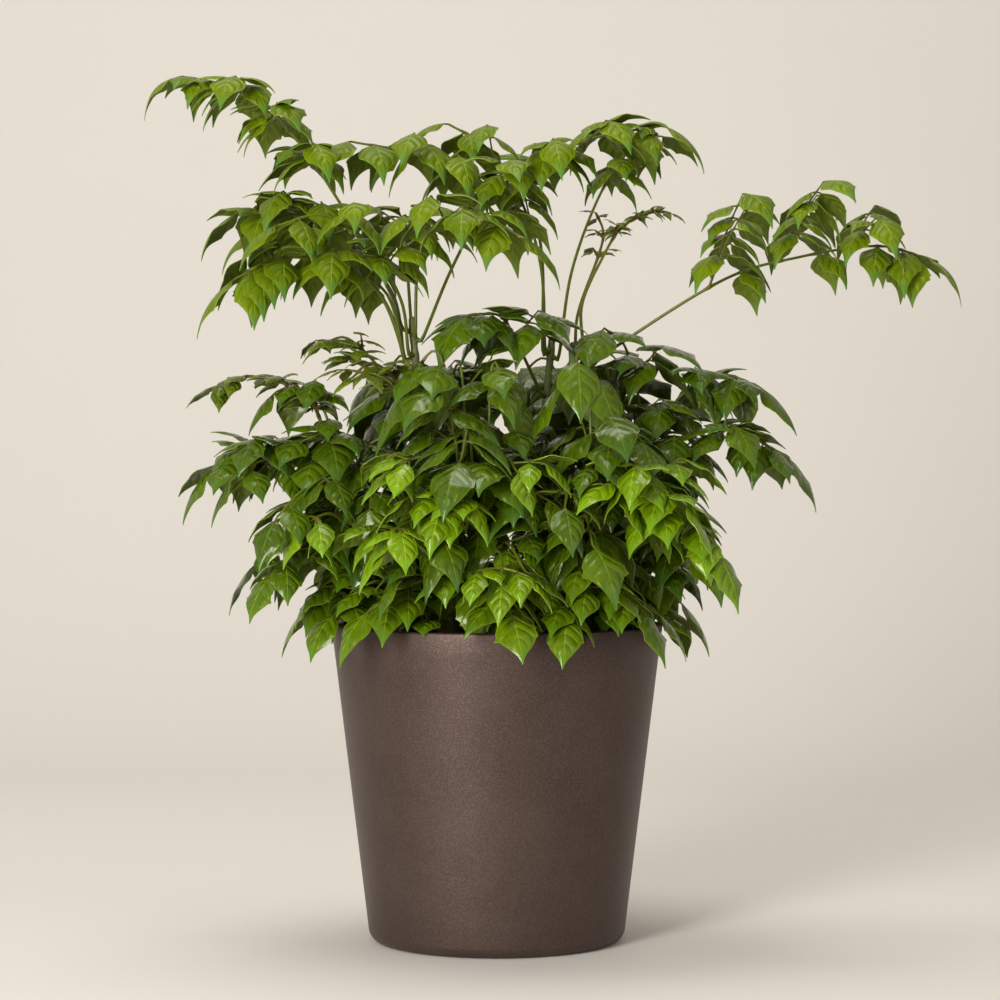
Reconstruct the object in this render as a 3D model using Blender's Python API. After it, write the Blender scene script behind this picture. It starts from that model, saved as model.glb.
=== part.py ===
"""A potted china doll plant: a dark tapered pot, its soil, green stems and their compound leaves.

Metres, +Z up. The origin is the middle of the pot's flat foot. Seen along +Y the plant
stands as in the photograph, with its long crown leaf to the left and its reach to the right.
"""

import itertools
import math
import random

import bmesh
import bpy
from mathutils import Vector
from mathutils.bvhtree import BVHTree

MM = 0.001
UP = Vector((0, 0, 1))
GAP = 0.3 * MM  # between two pieces that touch

# The pot, by its outside. It tapers to a rounded foot.
POT_HEIGHT = 172 * MM
POT_RIM_RADIUS = 90 * MM
POT_FOOT_RADIUS = 69 * MM
POT_FOOT_ROUNDING = 7 * MM
POT_LIP_ROUNDING = 1.2 * MM
POT_WALL = 4.5 * MM
POT_FLOOR = 6 * MM
POT_SIDES = 40
ROUNDING_STEPS = 2

SOIL_TOP = 160 * MM
SOIL_LUMP = 2.2 * MM
SOIL_RINGS = 2
SOIL_SIDES = 20
STEM_DEPTH = 20 * MM  # of each stem's foot in its hole

STEM_FOOT_RADIUS = 3.2 * MM
STEM_TOP_RADIUS = 2.0 * MM
STEM_SIDES = 6
HOLE_SIDES = 6
HOLE_ROOM = 1.0 * MM  # round a stem's foot
STEM_STEPS = 2  # between two points of a stem's line
STEM_END = 3 * MM  # of a stem, above its highest frond

PETIOLE_RADIUS = 1.15 * MM
RACHIS_RADIUS = 0.75 * MM
STALK_RADIUS = 0.6 * MM
KNEE = 4 * MM  # from a petiole's foot to where it turns up
KNEE_RISE = math.radians(32)
ROOT_LENGTH = 1.7 * MM  # of a leaflet's root along the stalk that it grows from
LONG_STRETCH = 34 * MM  # of a stalk that has no section between its ends
CORNER_WIDTH, CORNER_HEIGHT = math.sin(math.pi / 3), math.cos(math.pi / 3)  # of a triangular section

# A leaflet's outline, by the share of its length from root to tip.
STALK_SHARE = 0.08
OVATE_SKEW = 0.7  # under 1 it is widest nearer its root
OVATE_FULLNESS = 0.8
DRIP_START = 0.45
DRIP_LENGTH = 0.4
DRIP_NARROWING = 0.75
TOOTH_START = 0.26
TOOTH_PERIOD = 0.25
TOOTH_DEPTH = 0.26
TOOTH_MIDDLE = 0.4  # of a period, where a tooth leaves the outline as it is
BLADE_THICKNESS = 1.4 * MM  # at the rib
WIDTH_SHARE = 0.62  # of the length
ARCH = 0.26  # how far the edges hang below the rib, by the half width

# Where a blade has its points, by the share of its length: (edges, rib).
TINY_LEAF = 12 * MM
SMALL_LEAF = 20 * MM
TINY_BLADE = (0.5,), (0.45,)
SMALL_BLADE = (0.32, 0.7), (0.45,)
PLAIN_EDGE = (0.24, 0.5, 0.78)
TOOTHED_EDGE = (0.22, 0.5, 0.54, 0.76)
PLAIN_RIB = (0.42,)
BENT_RIB = (0.34, 0.7)
STRONG_BEND = math.radians(70)
STEEPEST = math.radians(85)  # that a leaflet rises at its root or hangs at its tip

# How each kind of foliage grows: its leaflets' pitch at the root and bend to the tip, in
# degrees, and the rise of its side stalks, by their reach.
HABITS = {
    "crown": (-16, 74, 0.3),
    "reach": (-16, 74, 1.0),
    "mature": (-20, 58, 0.3),
    "skirt": (-16, 60, 0.3),
    "bright": (-24, 56, 0.3),
    "young": (-4, 48, 0.3),
}
COLOURS = {
    "crown": (0.10, 0.22, 0.02),
    "reach": (0.10, 0.22, 0.02),
    "mature": (0.045, 0.14, 0.02),
    "skirt": (0.08, 0.20, 0.02),
    "bright": (0.17, 0.36, 0.02),
    "young": (0.12, 0.26, 0.03),
}
COLOUR_OF_POT = (0.10, 0.07, 0.06)
COLOUR_OF_COMPOST = (0.03, 0.02, 0.015)
COLOUR_OF_BARK = (0.09, 0.15, 0.03)

SPREAD = 58  # degrees between a stalk and what grows from its sides
RISE_KEPT = 0.4  # of its stalk's rise, by a leaflet
SIDE_STALK_FOOT = 0.16  # of a side stalk, by the leaflet's length
SIDE_STALK_PAIR = 0.46  # what each pair of leaflets adds to it
SIDE_STALK_ARCH = 0.6  # of its rise that it gains by half of its reach
PAIR_SHRINK = 0.08  # of the leaflets on a side stalk, from each pair to the next
TIP_STRETCH = 0.35  # from the last pair to the tip, by the leaflet's length
TOOTHED_SHARE = 0.3  # of the leaflets
END_LEAF = 1.1  # how much longer than its pairs the leaflet at a frond's tip is

# How far a leaflet strays to either side, in degrees, and its size.
SPREAD_STRAY = 7
BEARING_STRAY = 9
PITCH_STRAY = 11
BEND_STRAY = 13
ROLL_STRAY = 16
SIZE_RANGE = (0.88, 1.1)
RISE_RANGE = (0.6, 1.2)

CLEARANCE = 0.45 * MM  # that every leaflet keeps to its neighbours
SEED = 11

# What is tried in turn to keep clear: a frond's turn about its stem and the climb of its foot,
# then a leaflet's size, lift and swing.
TURNS = [math.radians(a) for a in (0, 5, -5, 10, -10, 16, -16, 24, -24, 34, -34)]
CLIMBS = [a * MM for a in (0, -7, 7)]
SCALES = (1, 0.85, 0.72, 0.6)
LIFTS = [math.radians(a) for a in (0, -16, 14, -32, 28, -50, 45)]
SWINGS = [math.radians(a) for a in (0, 12, -12, 25, -25, 40, -40)]

# Stem lines in millimetres, from foot to top.
STEMS = {
    "main": ((-20, 6), (-28, 6, 200), (-40, 3, 270), (-46, 0, 336)),
    "middle": ((10, 14), (20, 14, 220), (30, 12, 326)),
    "right": ((32, -2), (39, -4, 230), (41, -5, 322)),
    "left": ((-42, -8), (-58, -12, 190), (-82, -16, 250)),
    "far_right": ((54, 12), (66, 14, 190), (86, 14, 254)),
    "front": ((-6, -38), (-8, -50, 190), (-12, -60, 244)),
    "front_right": ((28, -34), (42, -46, 190), (56, -54, 232)),
    "back_left": ((-26, 42), (-36, 54, 200), (-42, 62, 262)),
    "back_right": ((32, 46), (42, 58, 200), (52, 66, 250)),
}

# Fronds placed one by one. Each has its stem, the height of its foot on the stem, its way
# points, the bare share of its length, the leaflets on each pair of side stalks from foot to
# tip, its leaflet's length and its kind of foliage. Millimetres.
FRONDS = {
    "crown_left": ("main", 331, ((-58, -3, 352), (-83, -6, 397), (-112, -12, 438), (-144, -18, 462),
                   (-168, -22, 469)), 0.52, (3, 3, 3, 1), 34, "crown"),
    "crown_middle": ("middle", 320, ((25, 8, 366), (20, 6, 389), (0, 4, 405), (-38, -4, 425),
                     (-78, -16, 432)), 0.42, (5, 3, 3, 1), 35, "crown"),
    "crown_right": ("main", 326, ((-24, -10, 365), (-4, -16, 400), (20, -20, 420), (54, -20, 434),
                    (88, -20, 440)), 0.50, (3, 3, 3, 1), 34, "crown"),
    "crown_back": ("main", 333, ((-50, 28, 372), (-54, 62, 396), (-52, 90, 396)), 0.5, (3, 3, 1), 32, "crown"),
    "mid_left": ("main", 316, ((-57, 2, 352), (-84, -4, 382), (-110, -8, 396), (-136, -14, 394)), 0.40,
                 (5, 3, 3, 1), 34, "crown"),
    "mid_left_low": ("main", 306, ((-59, -10, 350), (-84, -28, 364), (-112, -44, 368), (-136, -54, 357)), 0.42,
                     (3, 3, 1, 1), 37, "crown"),
    "central": ("main", 329, ((-42, -14, 368), (-30, -36, 388), (-6, -58, 388), (12, -66, 378)), 0.46,
                (3, 3, 3, 1), 34, "crown"),
    "right_reach": ("right", 306, ((64, -6, 322), (122, -12, 358), (162, -14, 370), (204, -16, 376),
                    (229, -18, 370)), 0.42, (5, 5, 3, 1), 34, "reach"),
    "young_top": ("right", 319, ((46, -4, 345), (58, -6, 372), (68, -8, 387), (84, -8, 395),
                  (94, -8, 394)), 0.66, (5, 3, 3, 1), 9, "young"),
    "young_side": ("right", 312, ((44, 4, 340), (56, 8, 374), (58, 10, 386), (54, 12, 396)), 0.72,
                   (3, 3, 1), 9, "young"),
    "upper_front": ("middle", 296, ((12, -8, 322), (2, -24, 338), (-14, -38, 338)), 0.5, (3, 1), 37, "mature"),
    "upper_right": ("far_right", 250, ((78, 8, 290), (70, 2, 322), (58, -12, 332)), 0.6, (3, 1), 37, "mature"),
    "branch_right_high": ("far_right", 249, ((96, 10, 290), (120, 4, 307), (140, -2, 302)), 0.3,
                          (3, 3, 1), 34, "mature"),
    "branch_right_low": ("far_right", 232, ((100, -2, 264), (132, -8, 274), (154, -14, 264)), 0.35,
                         (3, 3, 1), 34, "mature"),
    "branch_left": ("left", 240, ((-106, -22, 264), (-134, -28, 266), (-152, -34, 256)), 0.3,
                    (3, 3, 1), 31, "mature"),
    "young_left": ("left", 249, ((-100, -10, 292), (-130, -12, 306), (-152, -14, 300)), 0.4,
                   (3, 3, 1, 1), 18, "young"),
    "young_clump": ("main", 284, ((-60, -18, 304), (-78, -28, 316)), 0.4, (3, 3), 17, "young"),
    "front_fill": ("front", 238, ((8, -74, 252), (24, -88, 242)), 0.3, (3, 1, 1), 38, "mature"),
    "bright_right": ("front_right", 231, ((80, -74, 250), (96, -84, 240)), 0.3, (3, 3, 1), 33, "bright"),
    "bright_low_right": ("front_right", 218, ((96, -60, 232), (114, -70, 214)), 0.35, (3, 1, 1), 33, "bright"),
    "bright_middle": ("front", 243, ((-22, -84, 248), (-28, -98, 238)), 0.3, (3, 3), 29, "bright"),
    "bright_front": ("front", 226, ((-44, -84, 230), (-58, -96, 220)), 0.35, (3, 3), 29, "bright"),
}

# Rings of fronds that fill the dome of the bush. Each has its number of fronds, its first
# bearing in degrees, the reach and height of the tips, the height of the feet, the leaflet's
# length and the kind of foliage. Millimetres.
RINGS = {
    "skirt": (8, -86, 99, 184, 168, 33, "skirt"),
    "low": (8, -64, 112, 218, 186, 37, "mature"),
    "waist": (6, -100, 104, 262, 214, 39, "mature"),
    "shoulder": (5, -60, 70, 302, 244, 41, "mature"),
}
RING_BARE = 0.38
RING_PATTERN = (3, 1, 1)
RING_RISE = 14 * MM
RING_STAGGER = 5 * MM  # between the heights of the feet of three fronds in a row


class Path:
    """A smooth line through a few points, read by the distance along it."""

    def __init__(self, points, steps=8):
        ends = [2 * points[0] - points[1], *points, 2 * points[-1] - points[-2]]
        self.points = []
        for before, start, end, after in zip(ends, ends[1:], ends[2:], ends[3:]):
            for step in range(steps):
                t = step / steps
                bend = (end - before) * t + (2 * before - 5 * start + 4 * end - after) * t * t
                bend += (3 * start - before - 3 * end + after) * t**3
                self.points.append(start + bend / 2)
        self.points.append(points[-1])
        self.reached = [0.0]
        for a, b in zip(self.points, self.points[1:]):
            self.reached.append(self.reached[-1] + (b - a).length)
        self.length = self.reached[-1]
        heading = self.points[-1] - self.points[0]
        self.heading = math.atan2(heading.y, heading.x)

    def at(self, distance):
        """(point, tangent, left, up) at that distance, where left is level."""
        last = len(self.points) - 2
        step = next((i for i in range(last) if self.reached[i + 1] >= distance), last)
        start, end = self.points[step], self.points[step + 1]
        tangent = (end - start).normalized()
        point = start + tangent * (distance - self.reached[step])
        left = Vector((-math.sin(self.heading), math.cos(self.heading), 0))
        left = (left - tangent * left.dot(tangent)).normalized()
        return point, tangent, left, tangent.cross(left)

    def at_height(self, height):
        """The point at a height, and the line's rise per metre of it."""
        pairs = list(zip(self.points, self.points[1:]))
        low, high = next((pair for pair in pairs if pair[1].z >= height), pairs[-1])
        slope = (high - low) / (high.z - low.z)
        return low + slope * (height - low.z), slope


class Leaf:
    """A leaflet that leaves its root at a bearing and a pitch, and bends down along a circle."""

    def __init__(self, root, bearing, pitch, bend, roll, length, toothed):
        self.root = root
        self.bearing = bearing
        self.pitch = pitch
        self.bend = bend
        self.roll = roll
        self.length = length
        self.width = length * WIDTH_SHARE
        self.toothed = toothed

    def varied(self, swing, lift, scale):
        pitch = min(self.pitch + lift, STEEPEST)
        bend = min(self.bend, pitch + STEEPEST)
        return Leaf(self.root, self.bearing + swing, pitch, bend, self.roll, self.length * scale, self.toothed)

    def point_shares(self):
        if self.length < SMALL_LEAF:
            return TINY_BLADE if self.length < TINY_LEAF else SMALL_BLADE
        edge = TOOTHED_EDGE if self.toothed else PLAIN_EDGE
        return edge, BENT_RIB if self.bend > STRONG_BEND else PLAIN_RIB

    def half_width(self, along):
        """An ovate blade on a short stalk that ends in a long drip tip, with coarse teeth."""
        u = max(0.0, (along - STALK_SHARE) / (1 - STALK_SHARE))
        ovate = math.sin(math.pi * u**OVATE_SKEW) ** OVATE_FULLNESS if 0 < u < 1 else 0.0
        t = min(max((u - DRIP_START) / DRIP_LENGTH, 0), 1)
        half = self.width / 2 * ovate * (1 - DRIP_NARROWING * t * t * (3 - 2 * t))
        if self.toothed and TOOTH_START < along < TOOTH_START + 2 * TOOTH_PERIOD:
            tooth = math.fmod((along - TOOTH_START) / TOOTH_PERIOD, 1)
            half *= 1 + TOOTH_DEPTH * (tooth - TOOTH_MIDDLE)
        return half

    def at(self, along, across, above):
        """The point at a share of the length, a share of the half width (left is +1) and a height over it."""
        angle = self.pitch - self.bend * along
        out = Vector((math.cos(self.bearing), math.sin(self.bearing), 0))
        level = Vector((-out.y, out.x, 0))
        radius = self.length / self.bend
        point = self.root + out * radius * (math.sin(self.pitch) - math.sin(angle))
        point += UP * radius * (math.cos(angle) - math.cos(self.pitch))
        normal = UP * math.cos(angle) - out * math.sin(angle)
        side = level * math.cos(self.roll) + normal * math.sin(self.roll)
        over = normal * math.cos(self.roll) - level * math.sin(self.roll)
        half = self.half_width(along)
        return point + side * half * across + over * (above - ARCH * half * abs(across))


class Axis:
    """A stalk with forks in pairs along it and a leaflet at its tip."""

    def __init__(self, path, foot_radius, tip_radius, knee=None):
        self.path = path
        self.radii = foot_radius, tip_radius
        self.knee = knee
        self.forks = []  # (distance, left child, right child)
        self.tip = None

    def radius(self, distance):
        share = min(max(distance / self.path.length, 0), 1)
        return self.radii[0] * (1 - share) + self.radii[1] * share

    def between(self, start, end):
        """Distances that split a long bare stretch evenly, after the knee at a frond's foot."""
        knee = [self.knee] if self.knee and start == 0 else []
        start = max([start, *knee])
        count = int((end - start) / LONG_STRETCH)
        return [*knee, *(start + (end - start) * (i + 1) / (count + 1) for i in range(count))]

    def marks(self):
        """The distance of every section along it."""
        marks = [0.0]
        for distance, *_ in self.forks:
            before, after = distance - ROOT_LENGTH / 2, distance + ROOT_LENGTH / 2
            marks += [*self.between(marks[-1], before), before, after]
        return [*marks, self.path.length]

    def root_corners(self, distance, side):
        """The corners that a side's child grows from, where the left side is 0."""
        left_before, right_before, below_before = self.corners(distance - ROOT_LENGTH / 2)
        left_after, right_after, below_after = self.corners(distance + ROOT_LENGTH / 2)
        if side == 0:
            return left_before, left_after, below_after, below_before
        return right_after, right_before, below_before, below_after

    def corners(self, distance, spare=0.0):
        """The triangular section there: upper left, upper right and below."""
        point, _, left, up = self.path.at(distance)
        radius = self.radius(distance) + spare
        across, over = left * radius * CORNER_WIDTH, up * radius * CORNER_HEIGHT
        return point + across + over, point - across + over, point - up * radius


class Skin:
    """A surface of points and faces that can grow from ring to ring. A ring has four corners in
    order: upper left, upper right, lower right and lower left, of which the last two may be one."""

    def __init__(self, points=(), faces=()):
        self.points = list(points)
        self.faces = list(faces)

    def add(self, *points):
        first = len(self.points)
        self.points.extend(points)
        return list(range(first, len(self.points)))

    def face(self, *corners):
        kept = [c for i, c in enumerate(corners) if c != corners[i - 1]]
        if len(kept) > 2:
            self.faces.append(kept)

    def wall(self, ring, onward, side):
        after = (side + 1) % 4
        self.face(ring[side], ring[after], onward[after], onward[side])

    def join(self, ring, onward):
        for side in range(4):
            self.wall(ring, onward, side)

    def section(self, axis, distance, spare=0.0):
        ring = self.add(*axis.corners(distance, spare))
        return [*ring, ring[-1]]

    def strip(self, right, left, flipped=False):
        """Triangles between two lines of (share, point) that start and end together."""
        i = j = 0
        while i < len(right) - 1 or j < len(left) - 1:
            on_right = j == len(left) - 1 or (i < len(right) - 1 and right[i + 1][0] <= left[j + 1][0])
            corner = right[i + 1][1] if on_right else left[j + 1][1]
            corners = [right[i][1], corner, left[j][1]]
            self.face(*(reversed(corners) if flipped else corners))
            i, j = (i + 1, j) if on_right else (i, j + 1)

    def grow_leaf(self, ring, leaf, spare=0.0):
        """Closes a ring with a leaflet. Both faces of the blade are split alike."""
        edge_shares, rib_shares = leaf.point_shares()
        thick = BLADE_THICKNESS / 2 + spare
        swell = 1 + 2 * spare / leaf.width
        tip = (1.0, self.add(leaf.at(1 + spare / leaf.length, 0, 0))[0])
        over = [(u, self.add(leaf.at(u, 0, thick))[0]) for u in rib_shares]
        under = [(u, self.add(leaf.at(u, 0, -thick))[0]) for u in rib_shares]
        left = [(u, self.add(leaf.at(u, swell, 0))[0]) for u in edge_shares]
        right = [(u, self.add(leaf.at(u, -swell, 0))[0]) for u in edge_shares]
        upper_left, upper_right, lower_right, lower_left = ring
        self.face(upper_left, upper_right, over[0][1])
        self.face(lower_right, lower_left, under[0][1])
        self.face(lower_left, upper_left, left[0][1])
        self.face(upper_right, lower_right, right[0][1])
        self.strip([(0, upper_left), *over, tip], [(0, upper_left), *left, tip])
        self.strip([(0, upper_right), *right, tip], [(0, upper_right), *over, tip])
        self.strip([(0, lower_left), *under, tip], [(0, lower_left), *left, tip], flipped=True)
        self.strip([(0, lower_right), *right, tip], [(0, lower_right), *under, tip], flipped=True)

    def grow(self, ring, part):
        """Grows a leaflet, a stalk with all it carries, or nothing, out of a ring."""
        if part is None:
            self.face(*ring)
        elif isinstance(part, Leaf):
            self.grow_leaf(ring, part)
        else:
            reached = 0.0
            for distance, on_left, on_right in part.forks:
                for middle in part.between(reached, distance - ROOT_LENGTH / 2):
                    onward = self.section(part, middle)
                    self.join(ring, onward)
                    ring = onward
                reached = distance + ROOT_LENGTH / 2
                before = self.section(part, distance - ROOT_LENGTH / 2)
                after = self.section(part, reached)
                self.join(ring, before)
                self.wall(before, after, 0)
                self.grow([before[0], after[0], after[3], before[3]], on_left)
                self.grow([after[1], before[1], before[2], after[2]], on_right)
                ring = after
            if part.tip is None:
                end = self.section(part, part.path.length)
                self.join(ring, end)
                ring = end
            self.grow(ring, part.tip)


class Thicket:
    """The room that is taken, so that what grows next keeps clear of it."""

    def __init__(self):
        self.taken = []

    @staticmethod
    def box(points):
        return [min(p[i] for p in points) for i in range(3)], [max(p[i] for p in points) for i in range(3)]

    def add(self, skin, owner=None):
        self.taken.append((owner, *self.box(skin.points), BVHTree.FromPolygons(skin.points, skin.faces)))

    def is_clear(self, skin, but=None):
        """Whether a shape crosses nothing, apart from what the named owner holds."""
        low, high = self.box(skin.points)
        tree = None
        for owner, other_low, other_high, other in self.taken:
            near = all(other_low[i] <= high[i] and low[i] <= other_high[i] for i in range(3))
            if near and (but is None or owner != but):
                tree = tree or BVHTree.FromPolygons(skin.points, skin.faces)
                if tree.overlap(other):
                    return False
        return True


def whole_leaf(leaf, ring):
    """The leaflet by itself, from the corners of its root on."""
    skin = Skin()
    corners = skin.add(*ring)
    skin.grow_leaf([*corners, corners[-1]][:4], leaf)
    return skin


def blade(leaf, spare):
    """The leaflet's blade by itself, without the root that joins it to its stalk."""
    skin = Skin()
    half = STALK_RADIUS + spare
    stub = Leaf(leaf.root, leaf.bearing, leaf.pitch, leaf.bend, leaf.roll, leaf.length, False)
    middle = stub.at(STALK_SHARE * 1.2, 0, 0)
    level = Vector((-math.sin(leaf.bearing), math.cos(leaf.bearing), 0)) * half
    over = UP * half
    ring = skin.add(middle + level + over, middle - level + over, middle - level - over, middle + level - over)
    skin.grow_leaf(ring, leaf, spare)
    return skin


def tube(axis, start, spare):
    """The stalk by itself from a distance on, with room to spare round it."""
    skin = Skin()
    ring = None
    for mark in axis.marks():
        onward = skin.section(axis, max(mark, start), spare)
        if ring and mark > start:
            skin.join(ring, onward)
        ring = onward
    return skin


def rooted_tube(axis, ring):
    """The side stalk as it is, from the corners of its root on."""
    skin = Skin()
    ring = skin.add(*ring)
    for mark in axis.marks()[1:]:
        onward = skin.section(axis, mark)
        skin.join(ring, onward)
        ring = onward
    return skin


def vector_mm(values):
    return Vector(values) * MM


def stem_paths():
    foot = (SOIL_TOP - STEM_DEPTH + GAP) / MM
    return {
        name: Path([vector_mm((*points[0], foot)), *map(vector_mm, points[1:])], STEM_STEPS)
        for name, points in STEMS.items()
    }


def stem_radius(path, height):
    share = (height - path.points[0].z) / (path.points[-1].z - path.points[0].z)
    return STEM_FOOT_RADIUS * (1 - share) + STEM_TOP_RADIUS * share


def foot_on_stem(stem, height, towards):
    """The first two points of a frond, which leaves the stem's side level and turns up at its knee."""
    centre, slope = stem.at_height(height)
    out = Vector((towards.x - centre.x, towards.y - centre.y, 0)).normalized()
    lean = abs(slope.dot(out)) + CORNER_HEIGHT * math.sin(KNEE_RISE)
    foot = centre + out * (stem_radius(stem, height) + PETIOLE_RADIUS * lean + GAP)
    return [foot, foot + (out * math.cos(KNEE_RISE) + UP * math.sin(KNEE_RISE)) * KNEE]


def side_stalk(parent, distance, side, count, leaf_length, habit, draw):
    """What grows from one side of a stalk: a leaflet, or a shorter stalk with an odd count of them."""
    point, tangent, left, _ = parent.path.at(distance)
    root = point + left * side * parent.radius(distance) * CORNER_WIDTH
    spread = math.radians(SPREAD + stray(SPREAD_STRAY, draw))
    aim = tangent * math.cos(spread) + left * side * math.sin(spread)
    if count == 1:
        return new_leaf(root, aim, leaf_length * draw.uniform(*SIZE_RANGE), habit, draw)
    pairs = (count - 1) // 2
    reach = leaf_length * (SIDE_STALK_FOOT + SIDE_STALK_PAIR * pairs)
    rise = UP * reach * habit[2] * draw.uniform(*RISE_RANGE)
    path = Path([root, root + aim * reach / 2 + rise * SIDE_STALK_ARCH, root + aim * reach + rise])
    stalk = Axis(path, STALK_RADIUS, STALK_RADIUS * 0.8)
    for pair in range(pairs):
        at = path.length * (pair + 0.9) / (pairs + 0.6)
        size = leaf_length * (1 - PAIR_SHRINK * (pair + 0.5))
        stalk.forks.append((at, *(side_stalk(stalk, at, s, 1, size, habit, draw) for s in (1, -1))))
    stalk.tip = new_leaf(path.points[-1], path.at(path.length)[1], leaf_length, habit, draw)
    return stalk


def stray(degrees, draw):
    return draw.uniform(-degrees, degrees)


def new_leaf(root, aim, length, habit, draw):
    pitch, bend, _ = habit
    bearing = math.atan2(aim.y, aim.x) + math.radians(stray(BEARING_STRAY, draw))
    pitch = math.radians(pitch + stray(PITCH_STRAY, draw)) + RISE_KEPT * math.asin(aim.z / aim.length)
    bend = min(math.radians(bend + stray(BEND_STRAY, draw)), pitch + STEEPEST)
    roll = math.radians(stray(ROLL_STRAY, draw))
    return Leaf(root, bearing, pitch, bend, roll, length, draw.random() < TOOTHED_SHARE)


def frond_axis(stem, foot_height, way, bare, pattern, leaf_length, habit, turn, climb, draw):
    """A frond from the stem's side along its way, turned about its stem and with its foot moved up."""
    foot_height = min(foot_height + climb, stem.points[-1].z - STEM_END)
    centre, _ = stem.at_height(foot_height)
    turned = []
    for point in way:
        offset = point - centre
        x = offset.x * math.cos(turn) - offset.y * math.sin(turn)
        y = offset.x * math.sin(turn) + offset.y * math.cos(turn)
        turned.append(centre + Vector((x, y, offset.z)))
    path = Path([*foot_on_stem(stem, foot_height, turned[0]), *turned])
    axis = Axis(path, PETIOLE_RADIUS, RACHIS_RADIUS, KNEE)
    weights = [0.5 + 0.5 * count for count in pattern]
    start = path.length * bare
    room = path.length - start - leaf_length * TIP_STRETCH
    passed = 0.0
    for count, weight in zip(pattern, weights):
        at = start + room * passed / sum(weights[:-1])
        passed += weight
        sides = [side_stalk(axis, at, side, count, leaf_length, habit, draw) for side in (1, -1)]
        axis.forks.append((at, *sides))
    axis.tip = new_leaf(path.points[-1], path.at(path.length)[1], leaf_length * END_LEAF, habit, draw)
    return axis


def ring_fronds(stems):
    """(name, stem, foot height, way, leaf length, kind) of every frond in the rings."""
    for ring, (number, first, reach, tip, foot, leaf_length, kind) in RINGS.items():
        for i in range(number):
            bearing = math.radians(first + 360 * i / number)
            end = Vector((math.cos(bearing) * reach, math.sin(bearing) * reach, tip)) * MM
            start = foot * MM + RING_STAGGER * (i % 3)
            stem = min(stems.values(), key=lambda s: (s.at_height(start)[0] - end).xy.length)
            middle = (stem.at_height(start)[0] + end) / 2
            middle.z = max(start, tip * MM) + RING_RISE
            yield f"{ring}_{i + 1}", stem, start, [middle, end], leaf_length * MM, kind


def frond_plans(stems):
    """(name, kind, what frond_axis takes) of every frond."""
    for name, (stem, foot, way, bare, pattern, leaf_length, kind) in FRONDS.items():
        way = [vector_mm(p) for p in way]
        yield name, kind, (stems[stem], foot * MM, way, bare, pattern, leaf_length * MM, HABITS[kind])
    for name, stem, foot, way, leaf_length, kind in ring_fronds(stems):
        yield name, kind, (stem, foot, way, RING_BARE, RING_PATTERN, leaf_length, HABITS[kind])


def clear_axis(name, args, thicket):
    """The frond turned about its stem until it is clear of the rest. A side stalk that
    still isn't clear gives way to a leaflet."""
    for turn, climb in itertools.product(TURNS, CLIMBS):
        axis = frond_axis(*args, turn, climb, random.Random(f"{SEED} {name}"))
        beyond_stem = tube(axis, KNEE, CLEARANCE)
        if thicket.is_clear(beyond_stem) and thicket.is_clear(tube(axis, 0, CLEARANCE), but=args[0]):
            break
    else:
        raise ValueError(f"frond {name} finds no clear way")
    kept = [tube(axis, 0, 0)]
    for i, (distance, *sides) in enumerate(axis.forks):
        for side, child in enumerate(sides):
            if isinstance(child, Axis):
                whole = rooted_tube(child, axis.root_corners(distance, side))
                if thicket.is_clear(whole) and thicket.is_clear(tube(child, 0, CLEARANCE)):
                    kept.append(whole)
                else:
                    sides[side] = child.tip
                    child.tip.root = child.path.points[0]
        axis.forks[i] = (distance, *sides)
    for skin in kept:
        thicket.add(skin, name)
    return axis


def clear_leaf(name, leaf, ring, thicket):
    """The leaflet bent clear of everything so far, or None where there is no room for it."""
    for scale, lift, swing in itertools.product(SCALES, LIFTS, SWINGS):
        trial = leaf.varied(swing, lift, scale)
        test = blade(trial, CLEARANCE)
        if not above_soil(test.points) or not thicket.is_clear(test):
            continue
        whole = whole_leaf(trial, ring)
        if thicket.is_clear(whole, but=name):
            thicket.add(whole, name)
            return trial
    return None


def above_soil(points):
    return all(p.z > SOIL_TOP + SOIL_LUMP for p in points if p.xy.length < POT_RIM_RADIUS)


def settle(name, axis, thicket):
    """Fixes every leaflet of a stalk clear of the rest, from the tip backwards."""
    if axis.tip:
        last = axis.forks[-1][0] + ROOT_LENGTH / 2
        axis.tip = clear_leaf(name, axis.tip, axis.corners(last), thicket)
    for i, (distance, *sides) in reversed(list(enumerate(axis.forks))):
        for side, child in enumerate(sides):
            if isinstance(child, Axis):
                settle(name, child, thicket)
            else:
                sides[side] = clear_leaf(name, child, axis.root_corners(distance, side), thicket)
        axis.forks[i] = (distance, *sides)


def plan(pot, soil, stem_skins):
    """{name: (kind, axis)} of every frond, none of which crosses another, the pot, the soil or a stem."""
    stems = stem_paths()
    thicket = Thicket()
    thicket.add(pot)
    thicket.add(soil)
    for name, skin in stem_skins.items():
        thicket.add(skin, stems[name])
    fronds = {}
    for name, kind, args in frond_plans(stems):
        fronds[name] = kind, clear_axis(name, args, thicket)
    for name, (_, axis) in fronds.items():
        settle(name, axis, thicket)
    return fronds


def new_object(name, skin, material, smooth_under=None):
    mesh = bpy.data.meshes.new(name)
    mesh.from_pydata([tuple(p) for p in skin.points], [], skin.faces)
    mesh.materials.append(material)
    if smooth_under is not None:
        mesh.shade_smooth()
        mesh.set_sharp_from_angle(angle=math.radians(smooth_under))
    obj = bpy.data.objects.new(name, mesh)
    bpy.context.scene.collection.objects.link(obj)
    return obj


def new_material(name, colour, roughness):
    material = bpy.data.materials.new(name)
    material.use_nodes = True
    shader = material.node_tree.nodes["Principled BSDF"]
    shader.inputs["Base Color"].default_value = (*colour, 1)
    shader.inputs["Roughness"].default_value = roughness
    material.diffuse_color = (*colour, 1)
    return material


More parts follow.
